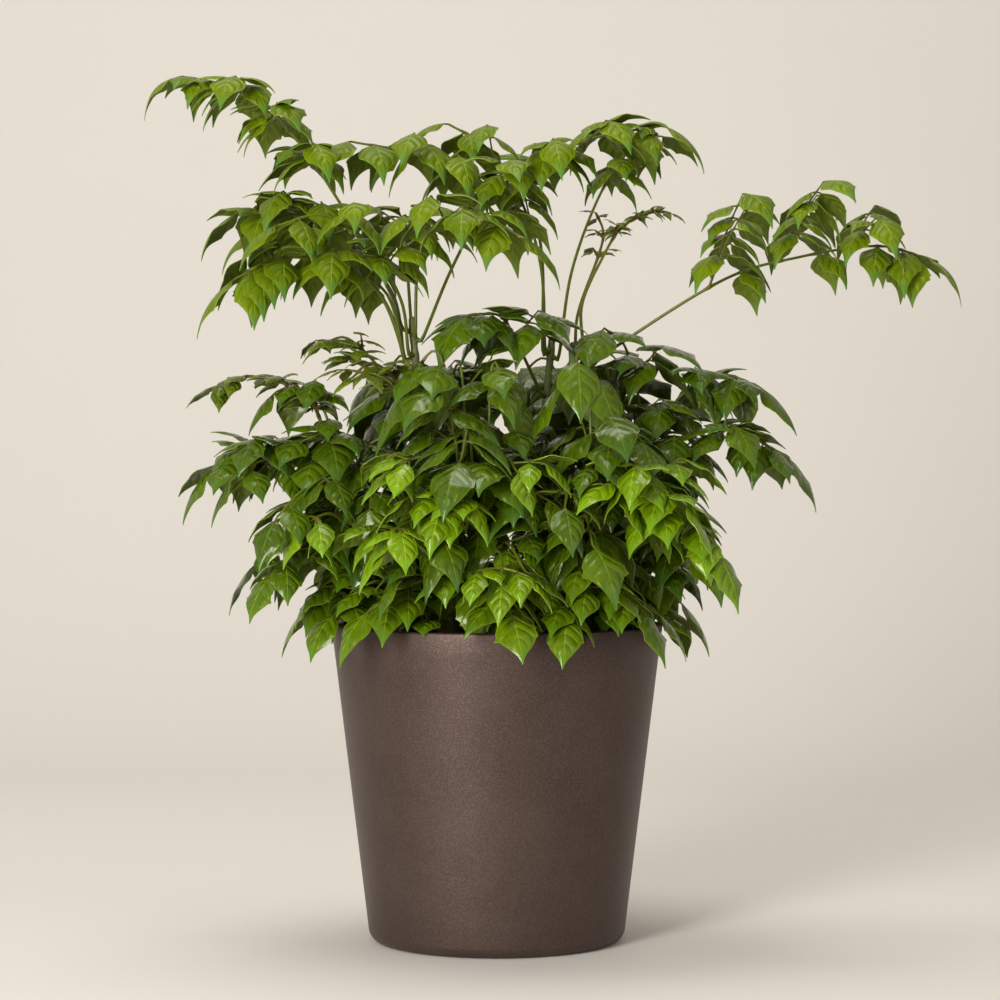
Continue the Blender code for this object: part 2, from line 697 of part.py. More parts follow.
def arc(centre_r, centre_z, radius, start, end, steps):
    """Points (r, z) on a round corner, between two angles in degrees."""
    angles = [math.radians(start + (end - start) * i / steps) for i in range(steps + 1)]
    return [(centre_r + radius * math.cos(a), centre_z + radius * math.sin(a)) for a in angles]


def turned_shape(profile, sides):
    """A profile turned about Z, from the axis below, up its outer side, to the axis above."""
    bm = bmesh.new()
    corners = [bm.verts.new((r, 0, z)) for r, z in profile]
    edges = [bm.edges.new(pair) for pair in zip(corners, corners[1:])]
    bmesh.ops.spin(bm, geom=corners + edges, axis=UP, angle=2 * math.pi, steps=sides)
    bmesh.ops.remove_doubles(bm, verts=bm.verts, dist=MM / 1000)
    bmesh.ops.recalc_face_normals(bm, faces=bm.faces)
    skin = Skin([v.co.copy() for v in bm.verts], [[v.index for v in f.verts] for f in bm.faces])
    bm.free()
    return skin


def wall_radius(height, inset=0.0):
    """The pot's outer radius at a height, less an inset."""
    return POT_FOOT_RADIUS + (POT_RIM_RADIUS - POT_FOOT_RADIUS) * height / POT_HEIGHT - inset


def pot_shape():
    foot, lip, top = POT_FOOT_ROUNDING, POT_LIP_ROUNDING, POT_HEIGHT
    taper = math.degrees(math.atan2(POT_RIM_RADIUS - POT_FOOT_RADIUS, POT_HEIGHT))
    profile = [(0, 0)]
    profile += arc(wall_radius(foot) - foot, foot, foot, -90, -taper, ROUNDING_STEPS)
    profile += arc(POT_RIM_RADIUS - lip, top - lip, lip, 0, 90, 1)
    profile += arc(wall_radius(top, POT_WALL) + lip, top - lip, lip, 90, 180, 1)
    profile += arc(wall_radius(POT_FLOOR + foot, POT_WALL) - foot, POT_FLOOR + foot, foot, 0, -90, 1)
    profile += [(0, POT_FLOOR)]
    return turned_shape(profile, POT_SIDES)


def soil_lump(x, y):
    """A low uneven mound, as watered compost settles."""
    waves = math.sin(x * 95 + 1.3) * math.cos(y * 120) + 0.6 * math.sin(x * 210 - y * 170)
    return SOIL_LUMP * (0.5 + 0.3 * waves)


def soil_shape():
    foot, wall = POT_FOOT_ROUNDING, POT_WALL + 2 * GAP
    edge = wall_radius(SOIL_TOP, wall)
    low = POT_FLOOR + GAP
    profile = [(0, low), (wall_radius(low, wall + foot), low)]
    profile += [(wall_radius(low + foot, wall + GAP), low + foot), (edge, SOIL_TOP)]
    profile += [(edge * ring / SOIL_RINGS, SOIL_TOP) for ring in range(SOIL_RINGS - 1, -1, -1)]
    skin = turned_shape(profile, SOIL_SIDES)
    for p in skin.points:
        if p.z > SOIL_TOP - MM / 10 and p.xy.length < edge * 0.99:
            p.z += soil_lump(p.x, p.y)
    return skin


def rod(rings):
    """A closed rod through rings of points, each counterclockwise seen from the rod's end."""
    sides = len(rings[0])
    skin = Skin([p for ring in rings for p in ring])
    for low in range(0, sides * (len(rings) - 1), sides):
        for side in range(sides):
            after = (side + 1) % sides
            skin.faces.append([low + side, low + after, low + after + sides, low + side + sides])
    skin.faces.append(list(range(sides))[::-1])
    skin.faces.append([len(skin.points) - sides + side for side in range(sides)])
    return skin


def circle(centre, radius, sides):
    """A level ring of points."""
    angles = [2 * math.pi * i / sides for i in range(sides)]
    return [centre + Vector((math.cos(a), math.sin(a), 0)) * radius for a in angles]


def stem_shape(path):
    return rod([circle(p, stem_radius(path, p.z), STEM_SIDES) for p in path.points])


def hole_shape(path):
    """The room of a stem's foot, which leans as the stem does, up to well above the soil."""
    foot = path.points[0] - UP * GAP
    top = foot + path.at_height(SOIL_TOP)[1] * 2 * STEM_DEPTH
    return rod([circle(end, STEM_FOOT_RADIUS + HOLE_ROOM, HOLE_SIDES) for end in (foot, top)])


def cut_holes(soil, stems):
    """A plain round hole in the soil for the foot of every stem."""
    cutters = bpy.data.collections.new("stem_holes")
    bpy.context.scene.collection.children.link(cutters)
    for name, path in stems.items():
        cutter = new_object(f"hole_{name}", hole_shape(path), soil.data.materials[0])
        bpy.context.scene.collection.objects.unlink(cutter)
        cutters.objects.link(cutter)
        cutter.hide_render = True
        cutter.display_type = "WIRE"
    cut = soil.modifiers.new("stem_holes", "BOOLEAN")
    cut.operation = "DIFFERENCE"
    cut.operand_type = "COLLECTION"
    cut.collection = cutters


def clear_scene():
    for obj in list(bpy.data.objects):
        bpy.data.objects.remove(obj)


def main():
    clear_scene()
    greens = {name: new_material(name, colour, 0.35) for name, colour in COLOURS.items()}
    stems = stem_paths()
    pot, soil = pot_shape(), soil_shape()
    stem_skins = {name: stem_shape(path) for name, path in stems.items()}
    new_object("pot", pot, new_material("pot_glaze", COLOUR_OF_POT, 0.4), smooth_under=30)
    cut_holes(new_object("soil", soil, new_material("compost", COLOUR_OF_COMPOST, 0.95)), stems)
    bark = new_material("stem", COLOUR_OF_BARK, 0.5)
    for name, skin in stem_skins.items():
        new_object(f"stem_{name}", skin, bark, smooth_under=70)
    for name, (kind, axis) in plan(pot, soil, stem_skins).items():
        skin = Skin()
        ring = skin.section(axis, 0)
        skin.face(*reversed(ring))
        skin.grow(ring, axis)
        new_object(f"frond_{name}", skin, greens[kind])


main()
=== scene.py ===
"""Looks of a potted china doll plant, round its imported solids. Metres, +Z up.

The plant grows here by the same rules and seeded draws as its solids, so every fine frond
lies where its solid does. More fronds then fill the bush and the crown between them.
"""

import itertools
import math
import random
from dataclasses import dataclass, replace

import bmesh
import bpy
import numpy as np
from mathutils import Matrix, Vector, noise
from mathutils.bvhtree import BVHTree


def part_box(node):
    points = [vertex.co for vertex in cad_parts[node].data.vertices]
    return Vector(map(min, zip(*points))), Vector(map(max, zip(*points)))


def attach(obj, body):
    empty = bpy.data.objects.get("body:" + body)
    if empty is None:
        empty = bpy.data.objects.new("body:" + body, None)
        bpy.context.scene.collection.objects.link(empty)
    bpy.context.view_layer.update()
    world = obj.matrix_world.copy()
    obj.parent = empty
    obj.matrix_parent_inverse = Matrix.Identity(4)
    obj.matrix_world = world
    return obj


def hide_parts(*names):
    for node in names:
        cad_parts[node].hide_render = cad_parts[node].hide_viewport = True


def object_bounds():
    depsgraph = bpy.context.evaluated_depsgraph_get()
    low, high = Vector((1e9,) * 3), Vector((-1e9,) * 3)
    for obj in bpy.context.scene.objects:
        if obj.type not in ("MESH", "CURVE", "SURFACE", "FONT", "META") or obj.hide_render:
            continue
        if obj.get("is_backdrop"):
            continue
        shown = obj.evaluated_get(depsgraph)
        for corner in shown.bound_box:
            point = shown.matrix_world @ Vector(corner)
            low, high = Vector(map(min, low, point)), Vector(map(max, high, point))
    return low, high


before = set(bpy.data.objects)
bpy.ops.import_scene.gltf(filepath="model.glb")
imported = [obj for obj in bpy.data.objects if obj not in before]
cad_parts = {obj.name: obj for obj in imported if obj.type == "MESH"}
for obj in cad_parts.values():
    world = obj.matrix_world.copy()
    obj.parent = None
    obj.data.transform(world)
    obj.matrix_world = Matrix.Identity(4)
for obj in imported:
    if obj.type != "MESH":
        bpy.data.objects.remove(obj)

CAD_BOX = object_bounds()
BODY = "root"

MM = 0.001
UP = Vector((0, 0, 1))
GAP = 0.3 * MM

# The pot, the soil and the stalks, as in the solids.
POT_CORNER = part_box("pot")[1]
POT_HEIGHT = POT_CORNER.z
POT_RIM_RADIUS = POT_CORNER.x
POT_FOOT_RADIUS = 69 * MM
POT_FOOT_ROUNDING = 7 * MM
POT_LIP_ROUNDING = 1.2 * MM
POT_WALL = 4.5 * MM
POT_FLOOR = 6 * MM
SOIL_TOP = 160 * MM
SOIL_LUMP = 2.2 * MM
STEM_DEPTH = 20 * MM
STEM_FOOT_RADIUS = 3.2 * MM
STEM_TOP_RADIUS = 2.0 * MM
STEM_STEPS = 2
STEM_END = 3 * MM
PETIOLE_RADIUS = 1.15 * MM
RACHIS_RADIUS = 0.75 * MM
STALK_RADIUS = 0.6 * MM
KNEE = 4 * MM
KNEE_RISE = math.radians(32)
ROOT_LENGTH = 1.7 * MM
LONG_STRETCH = 34 * MM
CORNER_WIDTH, CORNER_HEIGHT = math.sin(math.pi / 3), math.cos(math.pi / 3)

# A solid leaflet's outline, by the share of its length from root to tip, and its corners.
STALK_SHARE = 0.08
OVATE_SKEW = 0.7
OVATE_FULLNESS = 0.8
DRIP_START = 0.45
DRIP_LENGTH = 0.4
DRIP_NARROWING = 0.75
TOOTH_START = 0.26
TOOTH_PERIOD = 0.25
TOOTH_DEPTH = 0.26
TOOTH_MIDDLE = 0.4
BLADE_THICKNESS = 1.4 * MM
WIDTH_SHARE = 0.62
ARCH = 0.26

TINY_LEAF = 12 * MM
SMALL_LEAF = 20 * MM
TINY_BLADE = (0.5,), (0.45,)
SMALL_BLADE = (0.32, 0.7), (0.45,)
PLAIN_EDGE = (0.24, 0.5, 0.78)
TOOTHED_EDGE = (0.22, 0.5, 0.54, 0.76)
PLAIN_RIB = (0.42,)
BENT_RIB = (0.34, 0.7)
STRONG_BEND = math.radians(70)
STEEPEST = math.radians(85)

# How each kind of foliage grows: its leaflets' pitch at the root and bend to the tip, in
# degrees, and the rise of its side stalks, by their reach.
HABITS = {
    "crown": (-16, 74, 0.3),
    "reach": (-16, 74, 1.0),
    "mature": (-20, 58, 0.3),
    "skirt": (-16, 60, 0.3),
    "bright": (-24, 56, 0.3),
    "young": (-4, 48, 0.3),
}
SLOTS = {
    "crown": "crown_leaf",
    "reach": "crown_leaf",
    "mature": "mature_leaf",
    "skirt": "skirt_leaf",
    "bright": "bright_leaf",
    "young": "young_leaf",
}
SPREAD = 58
RISE_KEPT = 0.4
SIDE_STALK_FOOT = 0.16
SIDE_STALK_PAIR = 0.46
SIDE_STALK_ARCH = 0.6
PAIR_SHRINK = 0.08
TIP_STRETCH = 0.35
TOOTHED_SHARE = 0.3
END_LEAF = 1.1

# How far each draw strays, in degrees or by the plain size, and what is tried to find room.
SPREAD_STRAY = 7
BEARING_STRAY = 9
PITCH_STRAY = 11
BEND_STRAY = 13
ROLL_STRAY = 16
SIZE_RANGE = (0.88, 1.1)
RISE_RANGE = (0.6, 1.2)
CLEARANCE = 0.45 * MM
SEED = 11
TURNS = [math.radians(a) for a in (0, 5, -5, 10, -10, 16, -16, 24, -24, 34, -34)]
CLIMBS = [a * MM for a in (0, -7, 7)]
SCALES = (1, 0.85, 0.72, 0.6)
LIFTS = [math.radians(a) for a in (0, -16, 14, -32, 28, -50, 45)]
SWINGS = [math.radians(a) for a in (0, 12, -12, 25, -25, 40, -40)]

# Stem lines in millimetres, from foot to top.
STEMS = {
    "main": ((-20, 6), (-28, 6, 200), (-40, 3, 270), (-46, 0, 336)),
    "middle": ((10, 14), (20, 14, 220), (30, 12, 326)),
    "right": ((32, -2), (39, -4, 230), (41, -5, 322)),
    "left": ((-42, -8), (-58, -12, 190), (-82, -16, 250)),
    "far_right": ((54, 12), (66, 14, 190), (86, 14, 254)),
    "front": ((-6, -38), (-8, -50, 190), (-12, -60, 244)),
    "front_right": ((28, -34), (42, -46, 190), (56, -54, 232)),
    "back_left": ((-26, 42), (-36, 54, 200), (-42, 62, 262)),
    "back_right": ((32, 46), (42, 58, 200), (52, 66, 250)),
}

# Fronds placed one by one: the stem, the height of the foot on it, the bare share of the
# length, the leaflets on each pair of side stalks, the leaflet's length, the kind of foliage
# and the way points. Millimetres.
FRONDS = {
    "crown_left": ("main", 331, 0.52, (3, 3, 3, 1), 34, "crown",
        (-58, -3, 352), (-83, -6, 397), (-112, -12, 438), (-144, -18, 462), (-168, -22, 469)),
    "crown_middle": ("middle", 320, 0.42, (5, 3, 3, 1), 35, "crown",
        (25, 8, 366), (20, 6, 389), (0, 4, 405), (-38, -4, 425), (-78, -16, 432)),
    "crown_right": ("main", 326, 0.5, (3, 3, 3, 1), 34, "crown",
        (-24, -10, 365), (-4, -16, 400), (20, -20, 420), (54, -20, 434), (88, -20, 440)),
    "crown_back": ("main", 333, 0.5, (3, 3, 1), 32, "crown",
        (-50, 28, 372), (-54, 62, 396), (-52, 90, 396)),
    "mid_left": ("main", 316, 0.4, (5, 3, 3, 1), 34, "crown",
        (-57, 2, 352), (-84, -4, 382), (-110, -8, 396), (-136, -14, 394)),
    "mid_left_low": ("main", 306, 0.42, (3, 3, 1, 1), 37, "crown",
        (-59, -10, 350), (-84, -28, 364), (-112, -44, 368), (-136, -54, 357)),
    "central": ("main", 329, 0.46, (3, 3, 3, 1), 34, "crown",
        (-42, -14, 368), (-30, -36, 388), (-6, -58, 388), (12, -66, 378)),
    "right_reach": ("right", 306, 0.42, (5, 5, 3, 1), 34, "reach",
        (64, -6, 322), (122, -12, 358), (162, -14, 370), (204, -16, 376), (229, -18, 370)),
    "young_top": ("right", 319, 0.66, (5, 3, 3, 1), 9, "young",
        (46, -4, 345), (58, -6, 372), (68, -8, 387), (84, -8, 395), (94, -8, 394)),
    "young_side": ("right", 312, 0.72, (3, 3, 1), 9, "young",
        (44, 4, 340), (56, 8, 374), (58, 10, 386), (54, 12, 396)),
    "upper_front": ("middle", 296, 0.5, (3, 1), 37, "mature",
        (12, -8, 322), (2, -24, 338), (-14, -38, 338)),
    "upper_right": ("far_right", 250, 0.6, (3, 1), 37, "mature",
        (78, 8, 290), (70, 2, 322), (58, -12, 332)),
    "branch_right_high": ("far_right", 249, 0.3, (3, 3, 1), 34, "mature",
        (96, 10, 290), (120, 4, 307), (140, -2, 302)),
    "branch_right_low": ("far_right", 232, 0.35, (3, 3, 1), 34, "mature",
        (100, -2, 264), (132, -8, 274), (154, -14, 264)),
    "branch_left": ("left", 240, 0.3, (3, 3, 1), 31, "mature",
        (-106, -22, 264), (-134, -28, 266), (-152, -34, 256)),
    "young_left": ("left", 249, 0.4, (3, 3, 1, 1), 18, "young",
        (-100, -10, 292), (-130, -12, 306), (-152, -14, 300)),
    "young_clump": ("main", 284, 0.4, (3, 3), 17, "young", (-60, -18, 304), (-78, -28, 316)),
    "front_fill": ("front", 238, 0.3, (3, 1, 1), 38, "mature", (8, -74, 252), (24, -88, 242)),
    "bright_right": ("front_right", 231, 0.3, (3, 3, 1), 33, "bright", (80, -74, 250), (96, -84, 240)),
    "bright_low_right": ("front_right", 218, 0.35, (3, 1, 1), 33, "bright",
        (96, -60, 232), (114, -70, 214)),
    "bright_middle": ("front", 243, 0.3, (3, 3), 29, "bright", (-22, -84, 248), (-28, -98, 238)),
    "bright_front": ("front", 226, 0.35, (3, 3), 29, "bright", (-44, -84, 230), (-58, -96, 220)),
}

# Rings of fronds: the number, the first bearing in degrees, the reach and height of the tips,
# the height of the feet, the leaflet's length, the kind of foliage and the leaflets on each
# pair of side stalks. Millimetres.
RING_PATTERN = (3, 1, 1)
RINGS = {
    "skirt": (8, -86, 99, 184, 168, 33, "skirt", RING_PATTERN),
    "low": (8, -64, 112, 218, 186, 37, "mature", RING_PATTERN),
    "waist": (6, -100, 104, 262, 214, 39, "mature", RING_PATTERN),
    "shoulder": (5, -60, 70, 302, 244, 41, "mature", RING_PATTERN),
}
RING_BARE = 0.38
RING_RISE = 14 * MM
RING_STAGGER = 5 * MM

# What only the looks have: more fronds of the same make, in the room that the solids leave.
FILL_PATTERN = (3, 3, 1)
FILL_FRONDS = {
    "crown_bridge": ("middle", 321, 0.68, (3, 3, 1), 29, "crown",
        (24, 4, 366), (12, -4, 404), (-6, -8, 430), (-26, -10, 442)),
    "crown_end": ("middle", 317, 0.7, (3, 3, 1), 28, "crown",
        (36, 0, 362), (48, -8, 402), (64, -12, 428), (84, -10, 438)),
    "mid_left_back": ("main", 312, 0.42, (3, 3, 1), 32, "crown",
        (-62, 12, 348), (-88, 20, 380), (-112, 24, 392), (-130, 22, 388)),
    "mid_left_front": ("main", 318, 0.42, (3, 3, 1), 32, "crown",
        (-52, -10, 348), (-70, -34, 378), (-92, -50, 390), (-114, -60, 384)),
    "mid_left_under": ("main", 310, 0.5, (3, 3, 1), 33, "crown",
        (-60, -8, 346), (-86, -24, 372), (-110, -36, 378), (-130, -44, 370)),
    "branch_left_back": ("left", 236, 0.35, (3, 3, 1), 29, "mature",
        (-108, -6, 262), (-132, -4, 268), (-148, -8, 262)),
    "branch_left_front": ("left", 230, 0.35, (3, 3, 1), 27, "mature",
        (-100, -34, 254), (-120, -46, 262), (-138, -54, 252)),
    "branch_left_low": ("left", 222, 0.35, (3, 3, 1), 29, "mature",
        (-100, -26, 244), (-122, -36, 246), (-142, -42, 232)),
    "low_left": ("left", 196, 0.3, (3, 3, 1), 30, "mature",
        (-96, -20, 218), (-114, -24, 218), (-128, -26, 206)),
    "low_left_front": ("left", 190, 0.3, (3, 3, 1), 28, "skirt",
        (-88, -44, 212), (-104, -60, 214), (-116, -70, 202)),
    "low_left_back": ("left", 192, 0.3, (3, 3, 1), 30, "mature",
        (-92, 14, 216), (-108, 24, 218), (-120, 30, 206)),
    "left_rise": ("left", 246, 0.4, (3, 3, 1), 27, "mature",
        (-92, -8, 284), (-104, -12, 302), (-118, -16, 298)),
    "young_rise": ("main", 280, 0.4, (3, 3, 3), 15, "young",
        (-62, -14, 306), (-84, -20, 326), (-98, -24, 322)),
    "young_low": ("main", 276, 0.4, (3, 3, 3), 16, "young",
        (-66, -30, 300), (-88, -44, 312), (-102, -50, 304)),
    "bright_high": ("front", 240, 0.3, (3, 3), 25, "bright", (4, -80, 262), (10, -98, 256)),
    "bright_left": ("front", 234, 0.3, (3, 3), 25, "bright", (-34, -84, 262), (-52, -92, 258)),
    "bright_edge": ("left", 200, 0.3, (3, 3), 25, "bright", (-84, -60, 232), (-100, -76, 228)),
    "bright_low": ("front", 216, 0.3, (3, 3), 24, "bright", (-22, -92, 214), (-30, -106, 200)),
}
FILL_RINGS = {
    "inner_rim": (9, -108, 96, 180, 170, 30, "skirt", FILL_PATTERN),
    "inner_edge": (8, -88, 84, 178, 166, 25, "skirt", FILL_PATTERN),
    "inner_low": (10, -84, 100, 204, 180, 28, "mature", FILL_PATTERN),
    "inner_mid": (10, -70, 102, 238, 196, 29, "mature", FILL_PATTERN),
    "inner_waist": (10, -88, 92, 270, 216, 31, "mature", FILL_PATTERN),
    "inner_shoulder": (8, -84, 56, 296, 232, 33, "mature", FILL_PATTERN),
    "inner_core": (9, -60, 60, 232, 190, 30, "mature", FILL_PATTERN),
    "inner_heart": (7, -80, 40, 262, 210, 30, "mature", FILL_PATTERN),
    "inner_floor": (8, -100, 64, 196, 176, 26, "skirt", FILL_PATTERN),
}
FILL_CLEARANCE = 0.15 * MM
# Fronds with more leaflets between their own, and how much smaller those get with each fork.
MORE_SIZE = 0.9
THICKENED = [name for name in FRONDS if name not in ("central", "crown_middle", "young_side")]

# The fine blades.
BLADE_START = 0.085  # by the length
BLADE_WIDTH = 0.9  # by the solid blade's width
# Half widths at shares of the length: ovate with a long drip tip, and rounder.
BLADE_SHARES = (0, 0.06, 0.14, 0.25, 0.35, 0.45, 0.55, 0.65, 0.75, 0.86, 1)
LONG_HALVES = (0, 0.44, 0.77, 0.97, 1, 0.9, 0.68, 0.43, 0.25, 0.14, 0)
ROUND_HALVES = (0, 0.40, 0.70, 0.92, 1, 0.98, 0.88, 0.71, 0.46, 0.18, 0)
# How round each kind's blades are, from the least to the most.
ROUNDNESS = {
    "crown": (-0.1, 0.35),
    "reach": (-0.1, 0.35),
    "mature": (0.3, 1.1),
    "skirt": (0.4, 1.2),
    "bright": (0.4, 1.2),
    "young": (0.2, 0.8),
}
# A blade's count of rows and its columns, by the length that it is shorter than.
BLADE_GRIDS = (
    (20 * MM, 8, (-1, -0.45, 0, 0.45, 1)),
    (28 * MM, 11, (-1, -0.5, 0, 0.5, 1)),
    (math.inf, 14, (-1, -0.6, -0.12, 0, 0.12, 0.6, 1)),
)
THIN = 0.34 * MM
RIB_RIDGE = 0.3 * MM  # under the blade
RIB_GROOVE = 0.03  # on it, by the half width
ARCH_POWER = 1.6
ARCH_RANGE = (0.75, 1.35)
VEINS = 5.2  # pairs of side veins on a whole length
VEIN_LEAN = 1.25  # of that count, from rib to edge
VEIN_BOW = 1.4
WAVE = 0.09  # of the edges, by the half width
WAVE_TURNS = 2.1
SWAY = 0.05  # of the drip tip to one side, by the length
BOX_EASE = 12 * MM  # how near the box's sides foliage is drawn in
BOX_EXCESS = 3 * MM  # the most that it would stick out by
STRONG_TEETH = ((0.38, 0.1), (0.54, 0.22))  # place by the length, depth by the half width
FAINT_TEETH = ((0.52, 0.1),)
TOOTH_RISE = 0.12
TOOTH_DROP = 0.04
TOOTH_STRAY = 0.05
TOOTH_RANGE = (0.5, 1.2)

# The fine stalks and stems.
STALK_STEP = 3 * MM
STALK_SLIMNESS = 0.84  # by the solid stalk's radius
STALK_SIDES = 7
LEAF_STALK_SIDES = 5
LEAF_STALK_SHARES = (0.02, STALK_SHARE, 2.4 * STALK_SHARE)
LEAF_STALK_RADII = (0.62, 0.55, 0.46, 0.2)
ASKEW = (0.3, 0.5, 0.81)  # a direction that no stalk starts in
NODE_SWELL = 0.5  # of a stalk where it forks, by its radius
NODE_LENGTH = 1.7 * MM
FOOT_SWELL = 0.55
FOOT_LENGTH = 3.2 * MM
SUNK = 1.4 * MM  # a stalk's foot in what it grows from
BARK_SIDES = 18
BARK_STEP = 2.2 * MM
BARK_UNEVEN = 0.12
BARK_SLIMNESS = 0.94  # by the solid stem's radius
BARK_SWELL = 0.16  # at its nodes
BARK_GRAIN = Vector((1.7, 1.7, 153))  # of its unevenness, across and along
BUD_SHARES = (0.25, 0.55, 0.8, 1.0)

POT_SEGMENTS = 160
POT_RISE_STEPS = 12
FOOT_STEPS, LIP_STEPS, CORNER_STEPS = 10, 5, 6
SOIL_RINGS = 42
SOIL_SPOKES = 120
SOIL_DEPTH = 30 * MM
# The soil's lumps and its crumbs: scale, roughness, finer steps, how many, height.
SOIL_RELIEF = (70, 0.8, 2.2, 4, 1.5 * MM), (420, 0.7, 2.0, 3, 0.8 * MM)
CRUMBS = 260
CRUMB_RADII = (0.8 * MM, 2.6 * MM)
CRUMB_PITCHES = (-62, -20, 24, 64)
CRUMB_SIDES = 6
CRUMB_UNEVEN = (0.75, 1.2)

# Each kind's blade: deep and fresh green, vein colour, tip colour (a painted bluish-green sheen),
# roughness.
LEAF_LOOKS = {
    "crown": (
        (0.074, 0.122, 0.0008), (0.128, 0.190, 0.0012), (0.26, 0.36, 0.02), (0.06, 0.19, 0.05), 0.36,
    ),
    "mature": (
        (0.028, 0.058, 0.0010), (0.080, 0.138, 0.002), (0.15, 0.23, 0.015), (0.045, 0.13, 0.025), 0.21,
    ),
    "skirt": (
        (0.052, 0.100, 0.0010), (0.110, 0.185, 0.0015), (0.25, 0.36, 0.02), (0.09, 0.21, 0.012), 0.23,
    ),
    "bright": (
        (0.085, 0.155, 0.0010), (0.165, 0.285, 0.002), (0.36, 0.50, 0.02), (0.15, 0.33, 0.02), 0.22,
    ),
    "young": (
        (0.060, 0.090, 0.0020), (0.120, 0.170, 0.003), (0.2, 0.25, 0.03), (0.10, 0.16, 0.02), 0.34,
    ),
}
LEAF_LOOKS["reach"] = LEAF_LOOKS["crown"]
LEAF_UNDERSIDE = (0.13, 0.16, 0.03)
THIN_BODY = {"Subsurface Weight": 0.22, "Subsurface Radius": (1.0, 1.0, 0.3), "Subsurface Scale": 0.8 * MM}
DULL_SHINE = {**THIN_BODY, "Specular IOR Level": 0.22, "Specular Tint": (1.0, 1.0, 0.5, 1.0)}
GLOSS = {**DULL_SHINE, "Coat Weight": 0.42, "Coat Roughness": 0.1, "Coat IOR": 1.45}
STALK_SHINE = {"Specular IOR Level": 0.3, "Specular Tint": (1.0, 1.0, 0.7, 1.0)}
STALK_GREENS = (0.07, 0.105, 0.006), (0.125, 0.17, 0.010)
STALK_BROWN = (0.085, 0.045, 0.012)
BARK_GREENS = (0.09, 0.14, 0.03), (0.19, 0.25, 0.07)
BARK_BROWNS = (0.09, 0.055, 0.03), (0.24, 0.16, 0.09)
BARK_NODE = (0.13, 0.085, 0.045)
BARK_PORE = (0.36, 0.31, 0.22)
POT_BROWNS = (0.056, 0.037, 0.030), (0.070, 0.048, 0.040)
POT_GRAIN = (0.145, 0.105, 0.092)
POT_FLAKE = (0.27, 0.2, 0.17)
SOIL_BROWNS = (0.012, 0.008, 0.005), (0.07, 0.045, 0.028)
SOIL_FIBRE = (0.12, 0.08, 0.05)
SOIL_GRIT = (0.32, 0.29, 0.25)
FLOOR_PAINT = (0.72, 0.69, 0.65)

# The floor: half its width, its front and back, and the round rise to the top of the wall.
FLOOR_HALF, FLOOR_FRONT, FLOOR_BACK = 3.0, -4.0, 1.6
FLOOR_RISE, FLOOR_RISE_STEPS, WALL_TOP = 0.8, 12, 2.6

# Each light's place, what it points at, its width and height, its power and its colour.
MIDDLE = (0, 0, 0.25)
LIGHTS = {
    "key": ((-0.95, -1.85, 0.78), MIDDLE, (0.5, 1.5), 42, (1.0, 0.98, 0.94)),
    "low": ((-0.8, -1.5, 0.15), (0, 0, 0.12), (0.7, 0.24), 5, (1.0, 0.98, 0.94)),
    "fill": ((1.8, -1.2, 0.9), MIDDLE, (1.2, 1.2), 4, (1.0, 0.97, 0.92)),
    "top": ((-0.2, 0.1, 2.0), MIDDLE, (1.0, 0.8), 14, (1.0, 0.99, 0.95)),
}
SKY_COLOUR = (1.0, 0.94, 0.84, 1)
SKY_STRENGTH = 0.46

# The camera, from the photograph: where it stands, its pitch down and its lens.
CAMERA_PLACE = (0.0017, -1.64, 0.2695)
CAMERA_PITCH = math.radians(1.06)
SENSOR = 36
LENS = 108.6


class Path:
    """A smooth line through a few points, read by the distance along it."""

    def __init__(self, points, steps=8):
        ends = [2 * points[0] - points[1], *points, 2 * points[-1] - points[-2]]
        self.points = []
        for before, start, end, after in zip(ends, ends[1:], ends[2:], ends[3:]):
            for step in range(steps):
                t = step / steps
                bend = (end - before) * t + (2 * before - 5 * start + 4 * end - after) * t * t
                bend += (3 * start - before - 3 * end + after) * t**3
                self.points.append(start + bend / 2)
        self.points.append(points[-1])
        self.reached = [0.0]
        for a, b in zip(self.points, self.points[1:]):
            self.reached.append(self.reached[-1] + (b - a).length)
        self.length = self.reached[-1]
        heading = self.points[-1] - self.points[0]
        self.heading = math.atan2(heading.y, heading.x)

    def at(self, distance):
        """(point, tangent, left, up) at that distance, where left is level."""
        last = len(self.points) - 2
        step = next((i for i in range(last) if self.reached[i + 1] >= distance), last)
        start, end = self.points[step], self.points[step + 1]
        tangent = (end - start).normalized()
        point = start + tangent * (distance - self.reached[step])
        left = Vector((-math.sin(self.heading), math.cos(self.heading), 0))
        left = (left - tangent * left.dot(tangent)).normalized()
        return point, tangent, left, tangent.cross(left)

    def at_height(self, height):
        """The point at a height, and the line's rise per metre of it."""
        pairs = list(zip(self.points, self.points[1:]))
        low, high = next((pair for pair in pairs if pair[1].z >= height), pairs[-1])
        slope = (high - low) / (high.z - low.z)
        return low + slope * (height - low.z), slope


